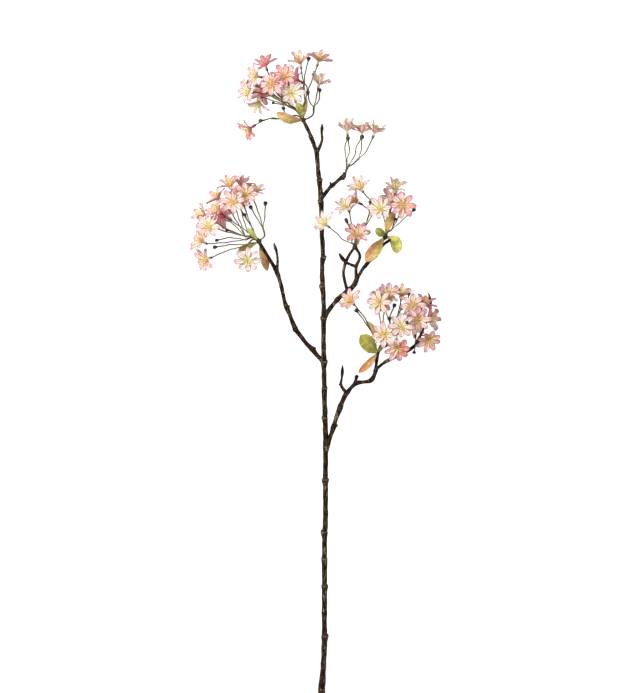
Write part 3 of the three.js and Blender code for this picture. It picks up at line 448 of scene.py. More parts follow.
wood = Skins()
stem = spline([(x, y, FOOT_RADIUS + STEM_RISE * (y - FOOT_Y), r) for x, y, r in STEM], SKIN_STEP)
ringed = np.zeros(len(stem))
scarred = np.zeros(len(stem))
for y, radius, scar in COLLARS:
    scarred += np.exp(-((stem[:, 1] - y + SCAR_BREADTH) / SCAR_BREADTH) ** 2)
    swelling = ring_swelling(stem[:, 1], y)
    stem[:, 3] += (radius - stem[:, 3]) * swelling
    stem[:, 0] += scar * swelling
    ringed = np.maximum(ringed, swelling**2)
rings, relief, _ = bark_skin(stem[:, :3], stem[:, 3], STEM_SIDES, 0, ringed)
rings[..., 2] = np.maximum(rings[..., 2], 0)  # pressed flat where it lies on the table
middle = rings[0].mean(0)
face = np.stack([middle + (rings[0] - middle) * share for share in CUT_RINGS])
pale = np.arange(len(face) + len(rings)) < len(face) - 1  # all of the face but its rim of bark
wood.add(np.concatenate([face, rings]), relief=np.pad(relief, ((len(face), 0), (0, 0))),
         cut=pale[:, None], scar=np.pad(scarred, (len(face), 0))[:, None], scaly=0)
for name, rows in TWIGS.items():
    twig = spline(rows, SKIN_STEP)
    swollen = np.clip((twig[:, 3] / np.median(twig[:, 3]) - 1) / SWELLING, 0, 1)
    twig[:, 3] += FLARE * np.exp(-distance_along(twig[:, :3]) / FLARE_REACH)
    rings, relief, scaly = bark_skin(twig[:, :3], twig[:, 3], TWIG_SIDES, name.endswith("_bud"), swollen)
    wood.add(rings, relief=relief, cut=0, scar=0, scaly=scaly)
for place, points, radius in SIDE_BUDS:
    path = place + unit(points) * radius * np.linspace(*SIDE_BUD_REACH, SIDE_BUD_RINGS)[:, None]
    taper = radius * np.sin(np.linspace(0.15, np.pi - 0.08, SIDE_BUD_RINGS)) ** 0.8
    rings, relief, _ = bark_skin(path, taper, SIDE_BUD_SIDES, 0, 0 * taper)
    wood.add(rings, relief=relief, cut=0, scar=0, scaly=np.linspace(0, 0.5, SIDE_BUD_RINGS)[:, None])

bark_finish = Finish("dark_bark", {"Specular IOR Level": 0.06})
relief, scar, scaly, cut = bark_finish.attributes("relief", "scar", "scaly", "cut")
streaks = bark_finish.noise(620, 5, (1, 0.16, 1))
patches = bark_finish.noise(110, 4, (1, 0.5, 1))
mossy = bark_finish.noise(30, 3, (1, 0.4, 1)).between(0.5, 0.66)
reddish = bark_finish.noise(44, 2, (1, 0.3, 1)).between(0.4, 0.6)
specks = bark_finish.noise(420, 1, (1, 2.2, 1)).between(0.62, 0.7)
grain = bark_finish.noise(1500, 2)
# The near-black colour under the lighter ridges, whose mask partly follows the relief, is partly the bark's
# own dark and partly painted shade in its grooves.
raised = (relief * 0.24 + streaks).between(0.38, 0.76)
dull = patches.between(0.5, 0.66)
# Pale grey-tan streaks where the streak and patch noise peaks: painted highlights on the bark.
painted_highlight_streaks = (streaks + patches * 0.6).between(0.88, 1.05)
dark_bark_and_groove_shade = bark_finish.mix(reddish, (6, 3, 2), (12, 5, 4))
ridge = bark_finish.mix(mossy * 0.75, bark_finish.mix(reddish, (68, 47, 29), (70, 41, 31)), (70, 64, 34))
cut_wood = bark_finish.mix(grain, (176, 150, 112), (206, 184, 146))
bark_colour = bark_finish.layers(
    dark_bark_and_groove_shade,
    (raised, ridge),
    (dull * 0.45, (36, 24, 18)),
    # Pale streaks: painted highlights.
    (painted_highlight_streaks * 0.7, (168, 148, 122)),
    (specks * 0.5, (150, 128, 102)),
    (scar * streaks.between(0.36, 0.56) * 0.6, (164, 140, 116)),
    (scaly * 0.7, (18, 11, 11)),
    (cut, cut_wood),
)
bark_finish.use(bark_colour, 0.6 - raised * 0.16, streaks + specks * 0.5, depth=0.0006, strength=0.8)
wood.piece("branch_wood", bark_finish.material, ["wood"])


# Blooms ----------------------------------------------------------------------------------------
# Starry blooms of eight soft petals on a slim tube. Each petal is creased along its middle, cream to
# pale pink in its body, mauve along its edge, and warmer towards the throat on the pinker blooms.
# Petals and tube grew as one.

PETALS = 8
PETAL_STATIONS = 17  # along a petal, and points across its front
PETAL_ACROSS = 9
LAST_STATION = 0.996  # just short of the tip, where the width would be nothing
PETAL_SPAN = 0.022  # from the throat to a petal's tip
SPAN_SPREAD = 0.09  # by what share of it the span differs from petal to petal
TURN_SPREAD = 0.13  # by what share of the step between them petals stand off it
LIFT_SPREAD = 0.5  # by what share of it the lift of the tips differs from petal to petal
PETAL_ROOT = np.array([0.0014, -0.002])  # radius and height where a petal's middle starts
PETAL_BEND = np.array([0.006, 0.0042])  # and those of the point that it bends round
PETAL_WIDTH = 0.0098  # of a petal that lies flat; a raised one is narrower
ROOT_WIDTH = 0.24  # share of the width at the root
WIDEST = 0.66  # share of the length where a petal has its whole width
TIP_START = 0.7  # share of the length where its tip begins to round in
PETAL_CREASE = 0.0009  # how far the middle sinks
PETAL_CUP = 0.0009  # how far the edges are turned up
PETAL_THICKNESS = 0.00042
PETAL_TWIST = 0.4  # radians at the tip
PETAL_WAVE = 0.0007
EDGE_RIPPLE = 0.05  # by what share the half width differs along the edge
TIP_CURL = 0.0016  # how far a tip turns down, or up on some petals
TUBE_LENGTH = 0.010  # from the end of the stalk to the throat
TUBE_SIDES = 16
# Radius and height of the tube's rings: up its outside, and from the eighth down its inside.
TUBE = [(0.0011, -0.0100), (0.0014, -0.0096), (0.0015, -0.0080), (0.0016, -0.0060), (0.0019, -0.0035),
        (0.0023, -0.0016), (0.0029, 0.0000), (0.0026, 0.0002), (0.0018, -0.0006), (0.0008, -0.0010)]
TUBE_OUTSIDE = 7  # how many of these rings are its outside

# Heads: where the stalks spring from and which way the head grows, the forks that its main stalks
# run to and the points that some of them pass, its blooms (middle of the throat, the way it faces,
# how far its tips stand above the throat, the fork its stalk leaves, the points that the stalk
# passes, and its tint from cream, 0, to rose, 1) and its closed buds (middle, radius and length,
# fork, points passed).
HEADS = {
    "top": {
        "spring": (-0.02, 0.411, 0.062), "grows": (-0.45, 0.85, 0.15),
        "forks": [
            (-0.017, 0.438, 0.064), (-0.0025, 0.431, 0.06), (-0.046, 0.411, 0.06),
            (-0.044, 0.432, 0.078), (-0.027, 0.43, 0.08), (-0.042, 0.436, 0.048),
        ],
        "bends": {1: [(-0.011, 0.413, 0.061), (-0.0045, 0.418, 0.06)]},
        "blooms": [
            ((-0.08, 0.497, 0.07), (-0.3, 0.8, -0.4), 0.008, 5, [(-0.068, 0.468, 0.058)], 0.75),
            ((-0.094, 0.479, 0.088), (-0.85, 0.15, 0.5), 0.009, 3, [(-0.068, 0.462, 0.082)], 0.4),
            ((-0.106, 0.455, 0.08), (-0.8, 0.05, 0.6), 0.008, 3, [(-0.076, 0.45, 0.072)], 0.3),
            ((-0.09, 0.438, 0.09), (-0.35, -0.75, 0.5), 0.012, 3, [(-0.072, 0.442, 0.079)], 0.25),
            ((-0.07, 0.465, 0.1), (-0.2, 0.3, 0.95), 0.006, 3, [(-0.059, 0.449, 0.084)], 0.7),
            ((-0.048, 0.479, 0.098), (-0.15, 0.3, 0.95), 0.008, 4, [(-0.038, 0.456, 0.082)], 0.85),
            ((-0.038, 0.451, 0.102), (0.05, 0.15, 1), 0.005, 4, [], 0.05),
            ((-0.024, 0.501, 0.074), (-0.12, 0.85, 0.45), 0.013, 0, [(-0.019, 0.466, 0.068)], 0.5),
            ((0.005, 0.505, 0.06), (0.2, 0.8, 0.4), 0.01, 0,
             [(-0.012, 0.456, 0.059), (-0.004, 0.478, 0.058)], 0.55),
            ((0.006, 0.468, 0.066), (0.2, 0.85, 0.45), 0.013, 1, [(0.0015, 0.446, 0.06)], 0.05),
            ((-0.104, 0.397, 0.055), (-0.75, -0.5, 0.2), 0.01, 2, [(-0.078, 0.411, 0.058)], 0.9),
            ((-0.029, 0.475, 0.06), (-0.7, 0.5, -0.1), 0.009, 0, [], 0.9),
            ((-0.085, 0.455, 0.035), (-0.5, 0.1, -0.8), 0.005, 5, [], 0.75),
            ((-0.04, 0.458, 0.025), (0, 0.2, -1), 0.005, 5, [], 0.5),
        ],
        "buds": [
            ((-0.011, 0.507, 0.066), (0.0032, 0.0085), 0, [(-0.017, 0.48, 0.067)]),
            ((-0.012, 0.453, 0.06), (0.0032, 0.008), 1, [(-0.009, 0.438, 0.061)]),
            ((0.007, 0.457, 0.056), (0.0028, 0.008), 1, [(0.006, 0.443, 0.057)]),
            ((-0.093, 0.463, 0.101), (0.003, 0.0065), 3, []),
            ((-0.071, 0.455, 0.08), (0.0032, 0.007), 3, []),
            ((-0.051, 0.428, 0.074), (0.0032, 0.007), 2, []),
            ((-0.067, 0.437, 0.068), (0.0024, 0.006), 3, []),
            ((-0.087, 0.409, 0.06), (0.0032, 0.0085), 2, [(-0.07, 0.413, 0.062)]),
        ],
    },
    "corner": {
        "spring": (0.0455, 0.3215, 0.0568), "grows": (0.4, 0.9, 0.05),
        "forks": [(0.0495, 0.346, 0.058), (0.069, 0.348, 0.059), (0.054, 0.339, 0.058)],
        "bends": {
            0: [(0.05, 0.3345, 0.0572)], 1: [(0.0522, 0.334, 0.0576), (0.06, 0.34, 0.058)],
            2: [(0.0516, 0.3325, 0.0586)],
        },
        "blooms": [
            ((0.0505, 0.394, 0.056), (-0.1, 0.9, 0.3), 0.013, 0, [(0.047, 0.363, 0.056)], 0.25),
            ((0.0745, 0.391, 0.06), (0, 1, 0.2), 0.011, 1, [(0.073, 0.363, 0.06)], 0.5),
            ((0.0945, 0.391, 0.057), (0.3, 0.92, 0.15), 0.012, 1, [(0.081, 0.36, 0.057)], 0.5),
        ],
        "buds": [
            ((0.052, 0.38, 0.063), (0.0034, 0.009), 0, [(0.0545, 0.362, 0.061)]),
            ((0.074, 0.382, 0.068), (0.0036, 0.009), 2, [(0.062, 0.352, 0.061), (0.066, 0.368, 0.064)]),
        ],
    },
    "left": {
        "spring": (-0.091, 0.217, 0.048), "grows": (-0.6, 0.75, 0.1),
        "forks": [
            (-0.084, 0.238, 0.05), (-0.101, 0.237, 0.052), (-0.112, 0.224, 0.058),
            (-0.112, 0.219, 0.048), (-0.108, 0.211, 0.047), (-0.109, 0.232, 0.04),
        ],
        "bends": {0: [(-0.082, 0.224, 0.049)]},
        "blooms": [
            ((-0.119, 0.306, 0.049), (0.1, 0.95, 0.1), 0.013, 1, [(-0.114, 0.272, 0.047)], 0.6),
            ((-0.098, 0.295, 0.058), (0.2, 0.9, 0.35), 0.009, 0, [(-0.091, 0.262, 0.052)], 0.35),
            ((-0.112, 0.291, 0.078), (0.2, 0.35, 0.9), 0.007, 1, [(-0.112, 0.268, 0.062)], 0.6),
            ((-0.136, 0.305, 0.062), (-0.3, 0.75, 0.55), 0.01, 1, [(-0.121, 0.27, 0.054)], 0.65),
            ((-0.155, 0.285, 0.054), (-0.65, 0.6, 0.3), 0.009, 2, [(-0.132, 0.258, 0.052)], 0.8),
            ((-0.131, 0.279, 0.086), (-0.1, 0.25, 0.95), 0.005, 2, [(-0.124, 0.258, 0.07)], 0.45),
            ((-0.156, 0.265, 0.07), (-0.65, 0.55, 0.4), 0.009, 2, [(-0.136, 0.248, 0.062)], 0.7),
            ((-0.178, 0.259, 0.046), (-0.85, 0.3, 0.35), 0.012, 2, [(-0.149, 0.24, 0.048)], 0.4),
            ((-0.169, 0.24, 0.076), (-0.4, 0.1, 0.9), 0.005, 2, [(-0.144, 0.232, 0.06)], 0.4),
            ((-0.181, 0.216, 0.058), (-0.7, 0.35, 0.5), 0.008, 3, [(-0.148, 0.214, 0.05)], 0.5),
            ((-0.174, 0.188, 0.046), (-0.8, -0.25, 0.5), 0.008, 4, [(-0.145, 0.2, 0.043)], 0.6),
            ((-0.109, 0.186, 0.066), (0, -0.35, 0.9), 0.004, 4, [], 0.05),
            ((-0.149, 0.258, 0.022), (-0.4, 0.2, -0.85), 0.004, 5, [], 0.85),
            ((-0.123, 0.282, 0.024), (-0.1, 0.5, -0.8), 0.005, 5, [], 0.4),
        ],
        "buds": [
            ((-0.08, 0.276, 0.052), (0.0034, 0.009), 0, [(-0.081, 0.257, 0.052)]),
            ((-0.103, 0.27, 0.057), (0.0032, 0.0085), 0, [(-0.093, 0.252, 0.055)]),
            ((-0.113, 0.258, 0.06), (0.003, 0.007), 1, []),
            ((-0.141, 0.234, 0.066), (0.0024, 0.007), 2, []),
            ((-0.157, 0.218, 0.06), (0.0026, 0.008), 3, [(-0.138, 0.222, 0.058)]),
            ((-0.16, 0.207, 0.052), (0.003, 0.009), 4, [(-0.134, 0.211, 0.051)]),
        ],
    },
    "inner": {
        "spring": (0.063, 0.208, 0.052), "grows": (-0.1, 0.95, 0.3),
        "forks": [(0.058, 0.213, 0.055), (0.066, 0.215, 0.056), (0.078, 0.236, 0.05)],
        "blooms": [
            ((0.016, 0.243, 0.068), (-0.6, 0.4, 0.6), 0.01, 0,
             [(0.044, 0.219, 0.056), (0.036, 0.227, 0.057)], 0.05),
            ((0.067, 0.226, 0.08), (0.05, 0.6, 0.75), 0.008, 1, [], 0.75),
            ((0.05, 0.27, 0.068), (-0.45, 0.7, 0.55), 0.009, 0, [(0.057, 0.246, 0.056)], 0.1),
            ((0.066, 0.279, 0.056), (-0.8, 0.35, 0.35), 0.009, 2, [(0.086, 0.264, 0.05)], 0.8),
            ((0.073, 0.301, 0.057), (-0.35, 0.6, 0.7), 0.011, 2, [(0.094, 0.27, 0.046)], 0.35),
            ((0.067, 0.23, 0.026), (0.05, 0.1, -1), 0.012, 1, [], 0.4),
        ],
        "buds": [
            ((0.05, 0.248, 0.066), (0.0029, 0.012), 0, [(0.059, 0.227, 0.061)]),
            ((0.0875, 0.278, 0.062), (0.003, 0.007), 2, [(0.085, 0.258, 0.056)]),
        ],
    },
    "outer": {
        "spring": (0.112, 0.224, 0.05), "grows": (0.2, 0.9, 0.3),
        "forks": [(0.113, 0.24, 0.054), (0.121, 0.234, 0.055)],
        "blooms": [
            ((0.104, 0.268, 0.072), (-0.15, 0.2, 0.95), 0.007, 0, [], 0.2),
            ((0.138, 0.273, 0.082), (0.1, 0.1, 1), 0.004, 1, [(0.134, 0.258, 0.064)], 0.85),
            ((0.128, 0.3, 0.056), (0.1, 0.85, 0.5), 0.01, 0, [(0.121, 0.268, 0.052)], 0.2),
            ((0.123, 0.282, 0.028), (0.1, 0.4, -0.85), 0.005, 0, [], 0.4),
        ],
        "buds": [
            ((0.157, 0.266, 0.064), (0.0028, 0.008), 1, []),
            ((0.1275, 0.251, 0.064), (0.0026, 0.007), 1, []),
        ],
    },
    "lower": {
        "spring": (0.112, 0.051, 0.043), "grows": (0.35, 0.85, 0.3),
        "forks": [
            (0.091, 0.069, 0.042), (0.107, 0.075, 0.048), (0.119, 0.076, 0.052), (0.131, 0.068, 0.062),
            (0.136, 0.076, 0.046), (0.124, 0.076, 0.036),
        ],
        "blooms": [
            ((0.057, 0.119, 0.06), (-0.55, 0.45, 0.7), 0.009, 0, [(0.08, 0.092, 0.044)], 0.65),
            ((0.102, 0.118, 0.066), (-0.25, 0.2, 0.9), 0.006, 1, [(0.102, 0.1, 0.05)], 0.35),
            ((0.116, 0.129, 0.056), (0.05, 0.6, 0.75), 0.008, 1, [(0.11, 0.102, 0.044)], 0.35),
            ((0.138, 0.13, 0.052), (0.1, 0.8, 0.55), 0.01, 2, [(0.132, 0.1, 0.044)], 0.45),
            ((0.155, 0.112, 0.072), (0.05, 0.3, 0.95), 0.006, 3, [(0.15, 0.096, 0.06)], 0.5),
            ((0.173, 0.116, 0.052), (0.4, 0.75, 0.45), 0.009, 4, [(0.16, 0.098, 0.044)], 0.9),
            ((0.163, 0.09, 0.078), (0.1, 0.1, 1), 0.005, 3, [(0.156, 0.082, 0.066)], 0.7),
            ((0.183, 0.091, 0.06), (0.8, 0.15, 0.55), 0.007, 4, [(0.164, 0.086, 0.05)], 0.95),
            ((0.138, 0.08, 0.087), (0, 0.1, 1), 0.005, 3, [], 0.2),
            ((0.11, 0.067, 0.082), (-0.2, 0.1, 0.95), 0.005, 1, [(0.112, 0.068, 0.06)], 0.4),
            ((0.131, 0.046, 0.076), (0.05, -0.45, 0.85), 0.005, 3, [], 1),
            ((0.106, 0.121, 0.02), (0, 0.1, -1), 0.01, 5, [], 0.4),
            ((0.158, 0.084, 0.02), (0.3, 0, -0.9), 0.004, 5, [(0.148, 0.082, 0.038)], 0.4),
        ],
        "buds": [
            ((0.126, 0.113, 0.062), (0.0032, 0.0085), 2, [(0.12, 0.098, 0.058)]),
            ((0.138, 0.109, 0.064), (0.003, 0.0085), 2, []),
            ((0.118, 0.092, 0.062), (0.0032, 0.0085), 2, []),
            ((0.146, 0.086, 0.098), (0.003, 0.007), 3, [(0.147, 0.081, 0.078)]),
            ((0.149, 0.131, 0.074), (0.0026, 0.006), 2, [(0.147, 0.108, 0.061)]),
            ((0.066, 0.105, 0.052), (0.0034, 0.008), 0, [(0.08, 0.086, 0.047)]),
        ],
    },
    "tip": {
        "spring": (0.164, 0.054, 0.047), "grows": (0.5, 0.6, 0.5),
        "forks": [(0.16, 0.055, 0.052)],
        "blooms": [
            ((0.181, 0.06, 0.06), (0.3, -0.5, 0.75), 0.007, 0, [(0.168, 0.065, 0.048)], 0.9),
        ],
        "buds": [
            ((0.16, 0.064, 0.057), (0.0018, 0.008), 0, []),
            ((0.169, 0.069, 0.05), (0.0018, 0.008), 0, []),
            ((0.158, 0.039, 0.052), (0.003, 0.006), 0, []),
        ],
    },
}
SETTLED = {"left": (12,), "lower": (11, 12)}  # blooms whose lowest petal lies on the surface


def wave(n):
    """An even spread of values from -1 to 1 for whole n: sin(2.4 n)."""
    return np.sin(2.4 * n)


def square_to(axis):
    """Two directions at right angles to a unit axis and to each other: +Z made square to it, or +Y
    where the axis is nearly upright, and the cross product of the axis with that."""
    side = np.where(np.abs(axis[..., 2:]) > 0.9, [0.0, 1.0, 0.0], [0.0, 0.0, 1.0])
    side = unit(side - axis * np.sum(side * axis, -1, keepdims=True))
    return side, np.cross(axis, side)


def turned(points, axis):
    """Points [bloom, ..., xyz] from a bloom's own frame, which faces +Z, to the way that it faces."""
    side, across = square_to(axis)
    basis = np.stack([side, across, axis], axis=1)
    return np.einsum("b...i,bij->b...j", points, basis)


def on_each(shape, axes, places):
    """The same shape, in a bloom's own frame, on every bloom of a head."""
    copies = turned(np.broadcast_to(shape, (len(axes), *shape.shape)), axes)
    return copies + places.reshape(-1, *[1] * (shape.ndim - 1), 3)


def two_faces(count):
    """Round a thin blade's ring: t, from -1 to 1 across the front and back again across the back, with
    count points on the front, and the face, 1 on the front and -1 on the back."""
    front = np.sin(np.linspace(-np.pi / 2, np.pi / 2, count))
    return np.concatenate([front, front[-2:0:-1]]), np.repeat([1.0, -1.0], [count, count - 2])


def petal_width(s):
    """Width at a share s of the length: a quarter sine up to the widest place, times a rounded tip,
    sqrt(1 - t^2.4), where t runs from 0 at the tip's start to 1 at its end."""
    spread = ROOT_WIDTH + (1 - ROOT_WIDTH) * np.sin(np.pi / 2 * np.minimum(s / WIDEST, 1))
    tip = np.maximum((s - TIP_START) / (1 - TIP_START), 0)
    return PETAL_WIDTH * spread * np.sqrt(1 - tip**2.4)


def petals(lifts):
    """Petals of a head's blooms, in their own frames: [bloom, petal, station, ring point, xyz]. The
    middle of a petal is a quadratic Bezier line out of the throat, whose tip is turned by curl s^5.
    Across it, t from -1 to 1, the front rises as |t|^1.6 from the crease, the edge waves as
    |t|^2 sin 15s, and both faces close at the edge. Also returns s, t, which face a point is on and a
    number of the petal's own, from 0 to 1."""
    n = np.arange(len(lifts))[:, None, None, None]
    k = np.arange(PETALS)[None, :, None, None]
    s = np.sin(np.linspace(0, np.pi / 2, PETAL_STATIONS))[:, None] ** 1.15
    s = np.minimum(s, LAST_STATION)
    t, face = two_faces(PETAL_ACROSS)
    angle = (k + TURN_SPREAD * wave(3 * n + 5 * k)) / PETALS * 2 * np.pi
    span = PETAL_SPAN * (1 + SPAN_SPREAD * wave(n + 3 * k))
    lift = np.reshape(lifts, n.shape) * (1 + LIFT_SPREAD * wave(2 * n + 7 * k + 1))
    reach = np.sqrt(span**2 - lift**2)
    tip = np.stack([reach, lift], -1)
    u = s[..., None]
    line = (1 - u) ** 2 * PETAL_ROOT + 2 * u * (1 - u) * PETAL_BEND + u**2 * tip
    slope = unit(2 * (1 - u) * (PETAL_BEND - PETAL_ROOT) + 2 * u * (tip - PETAL_BEND))
    ripple = 1 + EDGE_RIPPLE * np.sin(21 * s + 2 * n + 7 * k + 3 * t)
    half = petal_width(s) / 2 * reach / span * ripple
    twist = PETAL_TWIST * wave(5 * n + 3 * k + 2) * s
    edge = PETAL_WAVE * np.sin(15 * s + 3 * n + 5 * k + 2 * np.sign(t)) * np.abs(t) ** 2
    crease = (PETAL_CREASE + PETAL_CUP) * np.abs(t) ** 1.6 - PETAL_CREASE
    skin = PETAL_THICKNESS / 2 * np.sqrt(np.maximum(1 - t**2, 0)) * face
    curl = -TIP_CURL * (0.4 + wave(4 * n + 3 * k)) * s**5
    offset = (crease * np.minimum(half / (PETAL_WIDTH / 2), 1) + edge * s + skin
              + t * half * np.sin(twist) + curl)
    sideways = t * half * np.cos(twist)
    out = line[..., 0] - slope[..., 1] * offset
    height = line[..., 1] + slope[..., 0] * offset
    x = out * np.cos(angle) - sideways * np.sin(angle)
    y = out * np.sin(angle) + sideways * np.cos(angle)
    return np.stack([x, y, height], -1), s, t, face, (1 + wave(7 * n + 5 * k + 3)) / 2


def lathe(profile, sides):
    """Rings [ring, side, xyz] about +Z from rows of radius and height."""
    radius, height = np.asarray(profile).T[..., None]
    angle = round_turn(sides)
    return np.stack([radius * np.cos(angle), radius * np.sin(angle), height + 0 * angle], -1)


petal_finish = Finish("petal", {"Sheen Weight": 0.12, "Sheen Roughness": 0.4,
                                "Subsurface Weight": 0.05, "Subsurface Scale": 0.002,
                                "Specular IOR Level": 0.35})
along, across, rose, own, back, tube, outside = petal_finish.attributes(
    "along", "across", "rose", "own", "back", "tube", "outside")
strand = petal_finish.node("ShaderNodeCombineXYZ", None, {0: across * 1.9, 1: along * 1.3, 2: own * 40})
veins = petal_finish.noise(2.6, 3, where=strand)
blush = petal_finish.noise(95, 2)
fine = petal_finish.noise(900, 2)
rim = (across**2).between(0.4, 0.8)
middle = 1 - (across**2).between(0.0, 0.16)
tip = along.between(0.78, 0.98)
inner = 1 - along.between(0.3, 0.82)
throat = 1 - along.between(0.0, 0.16)
streaky = (veins + fine * 0.15).between(0.54, 0.64)
outer = along.between(0.35, 1.0) * (rose * 0.48 + 0.06) + own.between(0.5, 1.0) * (rose * 0.4 + 0.04)
warm = inner * rose.between(0.2, 0.7) * (middle * 0.45 + streaky * 0.4)
flame = rose.between(0.8, 0.95) * own.between(0.5, 0.7) * (0.35 + streaky * 0.45)
reddened = back * rose.between(0.6, 0.8) * (1 - along.between(0.1, 0.55))
greenish = (1 - tube.between(0.0, 0.35)) * (1 - rose.between(0.75, 0.9) * 0.7)
cream = petal_finish.mix(blush.between(0.42, 0.6), (253, 248, 242), (252, 236, 226))
pink = petal_finish.mix(blush.between(0.4, 0.6), (236, 150, 168), (244, 186, 158))
yellow = petal_finish.mix(rose.between(0.1, 0.5), (232, 228, 156), (253, 226, 154))
mauve = petal_finish.mix(rose.between(0.0, 0.7), (126, 102, 102), (142, 74, 90))
tube_colour = petal_finish.mix(rose.between(0.6, 0.8), (228, 196, 170), (222, 60, 98))
petal_colour = petal_finish.layers(
    cream,
    (outer, pink),
    (streaky * (rose * 0.4 + 0.3), (202, 112, 122)),
    (inner * (0.4 + streaky * 0.45), yellow),
    (warm, (206, 76, 40)),
    (middle * (1 - inner) * 0.6, (202, 138, 126)),
    (flame, (208, 84, 92)),
    ((rim + tip * 0.55) * (blush * 0.6 + 0.5), mauve),
    (back * (rose * 0.4 + 0.1), (240, 140, 164)),
    (throat * 0.8, (214, 190, 84)),
    (outside, petal_finish.mix(greenish, tube_colour, (140, 142, 92))),
    (reddened, (228, 76, 112)),
)
petal_finish.use(petal_colour, 0.62 - rim * 0.12, veins + fine * 0.3, depth=0.0004, strength=0.8)

throats = {}
axes = {}
for head, rows in HEADS.items():
    at, faces, lifts, _, _, tints = zip(*rows["blooms"])
    shapes, s, t, face, petal_own = petals(lifts)
    axes[head] = unit(faces)
    shapes = turned(shapes, axes[head])
    throats[head] = np.array(at, float)
    for number in SETTLED.get(head, ()):
        throats[head][number, 2] = -shapes[number, ..., 2].min()
    tint = np.array(tints, float)[:, None, None]
    up = np.array([height for _, height in TUBE])[:, None] / TUBE_LENGTH + 1
    outside = np.arange(len(TUBE))[:, None] < TUBE_OUTSIDE
    blooms = Skins()
    blooms.add(shapes + throats[head][:, None, None, None], along=s, across=t, rose=tint[..., None],
               own=petal_own, back=(1 - face) / 2, tube=1, outside=0)
    blooms.add(on_each(lathe(TUBE, TUBE_SIDES), axes[head], throats[head]), along=0.02, across=0,
               rose=tint, own=0.5, back=0, tube=up, outside=outside)
    nodes = [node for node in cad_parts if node.startswith(f"{head}_blooms_")]
    blooms.piece(f"{head}_petals", petal_finish.material, nodes)


# Stamens ---------------------------------------------------------------------------------------
# A loose tuft of soft yellow threads stands out of every throat, each tipped with a golden brown
# anther. They grow from the inside of the tube.

STAMENS = 13
THREAD_RADIUS = 0.00027
THREAD_SIDES = 6
THREAD_RINGS = 7
THREAD_ROOT = 0.0007  # how far from the throat's middle threads start, and how far below it
THREAD_DEPTH = 0.001
STAMEN_RISE = 0.0045  # of the tallest above the petals' tips
STAMEN_FALL = 0.4  # by what share of their height the lowest are shorter
STAMEN_LEAN = 0.0012  # how far the innermost lean out, and how much further the outermost
STAMEN_SPREAD = 0.0066
STAMEN_PRESS = 0.004  # the height up to which the table presses them together
PRESSED_LEAST = 0.0001  # the height at which the lowest of them then lies
ANTHER_RADIUS = 0.00062
ANTHER_LENGTH = 0.0019

stamen_finish = Finish("stamen", {"Sheen Weight": 0.2})
golden, up = stamen_finish.attributes("anther", "up")
pollen = stamen_finish.noise(1800, 2)
thread_colour = stamen_finish.mix(up, (226, 216, 128), (252, 240, 160))
anther_colour = stamen_finish.mix(pollen.between(0.35, 0.65), (196, 140, 52), (244, 208, 98))
stamen_finish.use(stamen_finish.mix(golden, thread_colour, anther_colour),
                  0.7 - pollen * 0.2, pollen, depth=0.0002, strength=0.5)


def stamens(lifts):
    """Rings of threads and of anthers in their blooms' own frames. Thread j leaves the tube at azimuth
    2.4 j and bends outwards as r = r0 + (r1 - r0) u^1.2 while it rises with u. An anther is an
    ellipsoid on the thread's end, upright in its bloom's frame. Also returns u."""
    n = np.arange(len(lifts))[:, None, None, None]
    j = np.arange(STAMENS)[None, :, None, None]
    u = np.linspace(0, 1, THREAD_RINGS)[:, None]
    angle = round_turn(THREAD_SIDES)
    lean = STAMEN_LEAN + STAMEN_SPREAD * np.sqrt((j + 0.5) / STAMENS)
    rise = (np.reshape(lifts, n.shape) + STAMEN_RISE) * (1 - STAMEN_FALL * (1 + wave(3 * n + 2 * j)) / 2)
    radial = THREAD_ROOT + (lean - THREAD_ROOT) * u**1.2
    height = -THREAD_DEPTH + (rise + THREAD_DEPTH) * u
    azimuth = 2.4 * j + 0.7 * wave(n + j) + 0.5 * wave(n + 2 * j) * u
    thread = np.stack([radial * np.cos(azimuth) + THREAD_RADIUS * np.cos(angle),
                       radial * np.sin(azimuth) + THREAD_RADIUS * np.sin(angle),
                       height + 0 * angle], -1)
    v = np.linspace(0.08, np.pi - 0.08, THREAD_RINGS)
    anther = lathe(np.stack([ANTHER_RADIUS * np.sin(v), -ANTHER_LENGTH / 2 * np.cos(v)], 1), THREAD_SIDES)
    end = thread[..., -1:, :, :].mean(-2, keepdims=True)
    return thread, end + anther, u


def pressed(points, lowest):
    """Points whose heights are under STAMEN_PRESS are drawn together evenly, so that what would reach
    down to the lowest height lies on the table instead."""
    room = STAMEN_PRESS - PRESSED_LEAST
    share = room / max(STAMEN_PRESS - lowest, room)
    height = points[..., 2]
    points[..., 2] = np.where(height < STAMEN_PRESS, STAMEN_PRESS - (STAMEN_PRESS - height) * share, height)
    return points


for head, rows in HEADS.items():
    threads, anthers, u = stamens([bloom[2] for bloom in rows["blooms"]])
    at = throats[head][:, None, None, None]
    threads = turned(threads, axes[head]) + at
    anthers = turned(anthers, axes[head]) + at
    lowest = min(threads[..., 2].min(), anthers[..., 2].min())
    tufts = Skins()
    tufts.add(pressed(threads, lowest), anther=0, up=u)
    tufts.add(pressed(anthers, lowest), anther=1, up=1)
    tufts.piece(f"{head}_stamens", stamen_finish.material)


# Stalks ----------------------------------------------------------------------------------------
# Thin green stalks spring from a brown knob at the twig's end and fork once. Each carries a bloom in
# a small five-pointed cup, or ends in a closed bud, dark green and ribbed.

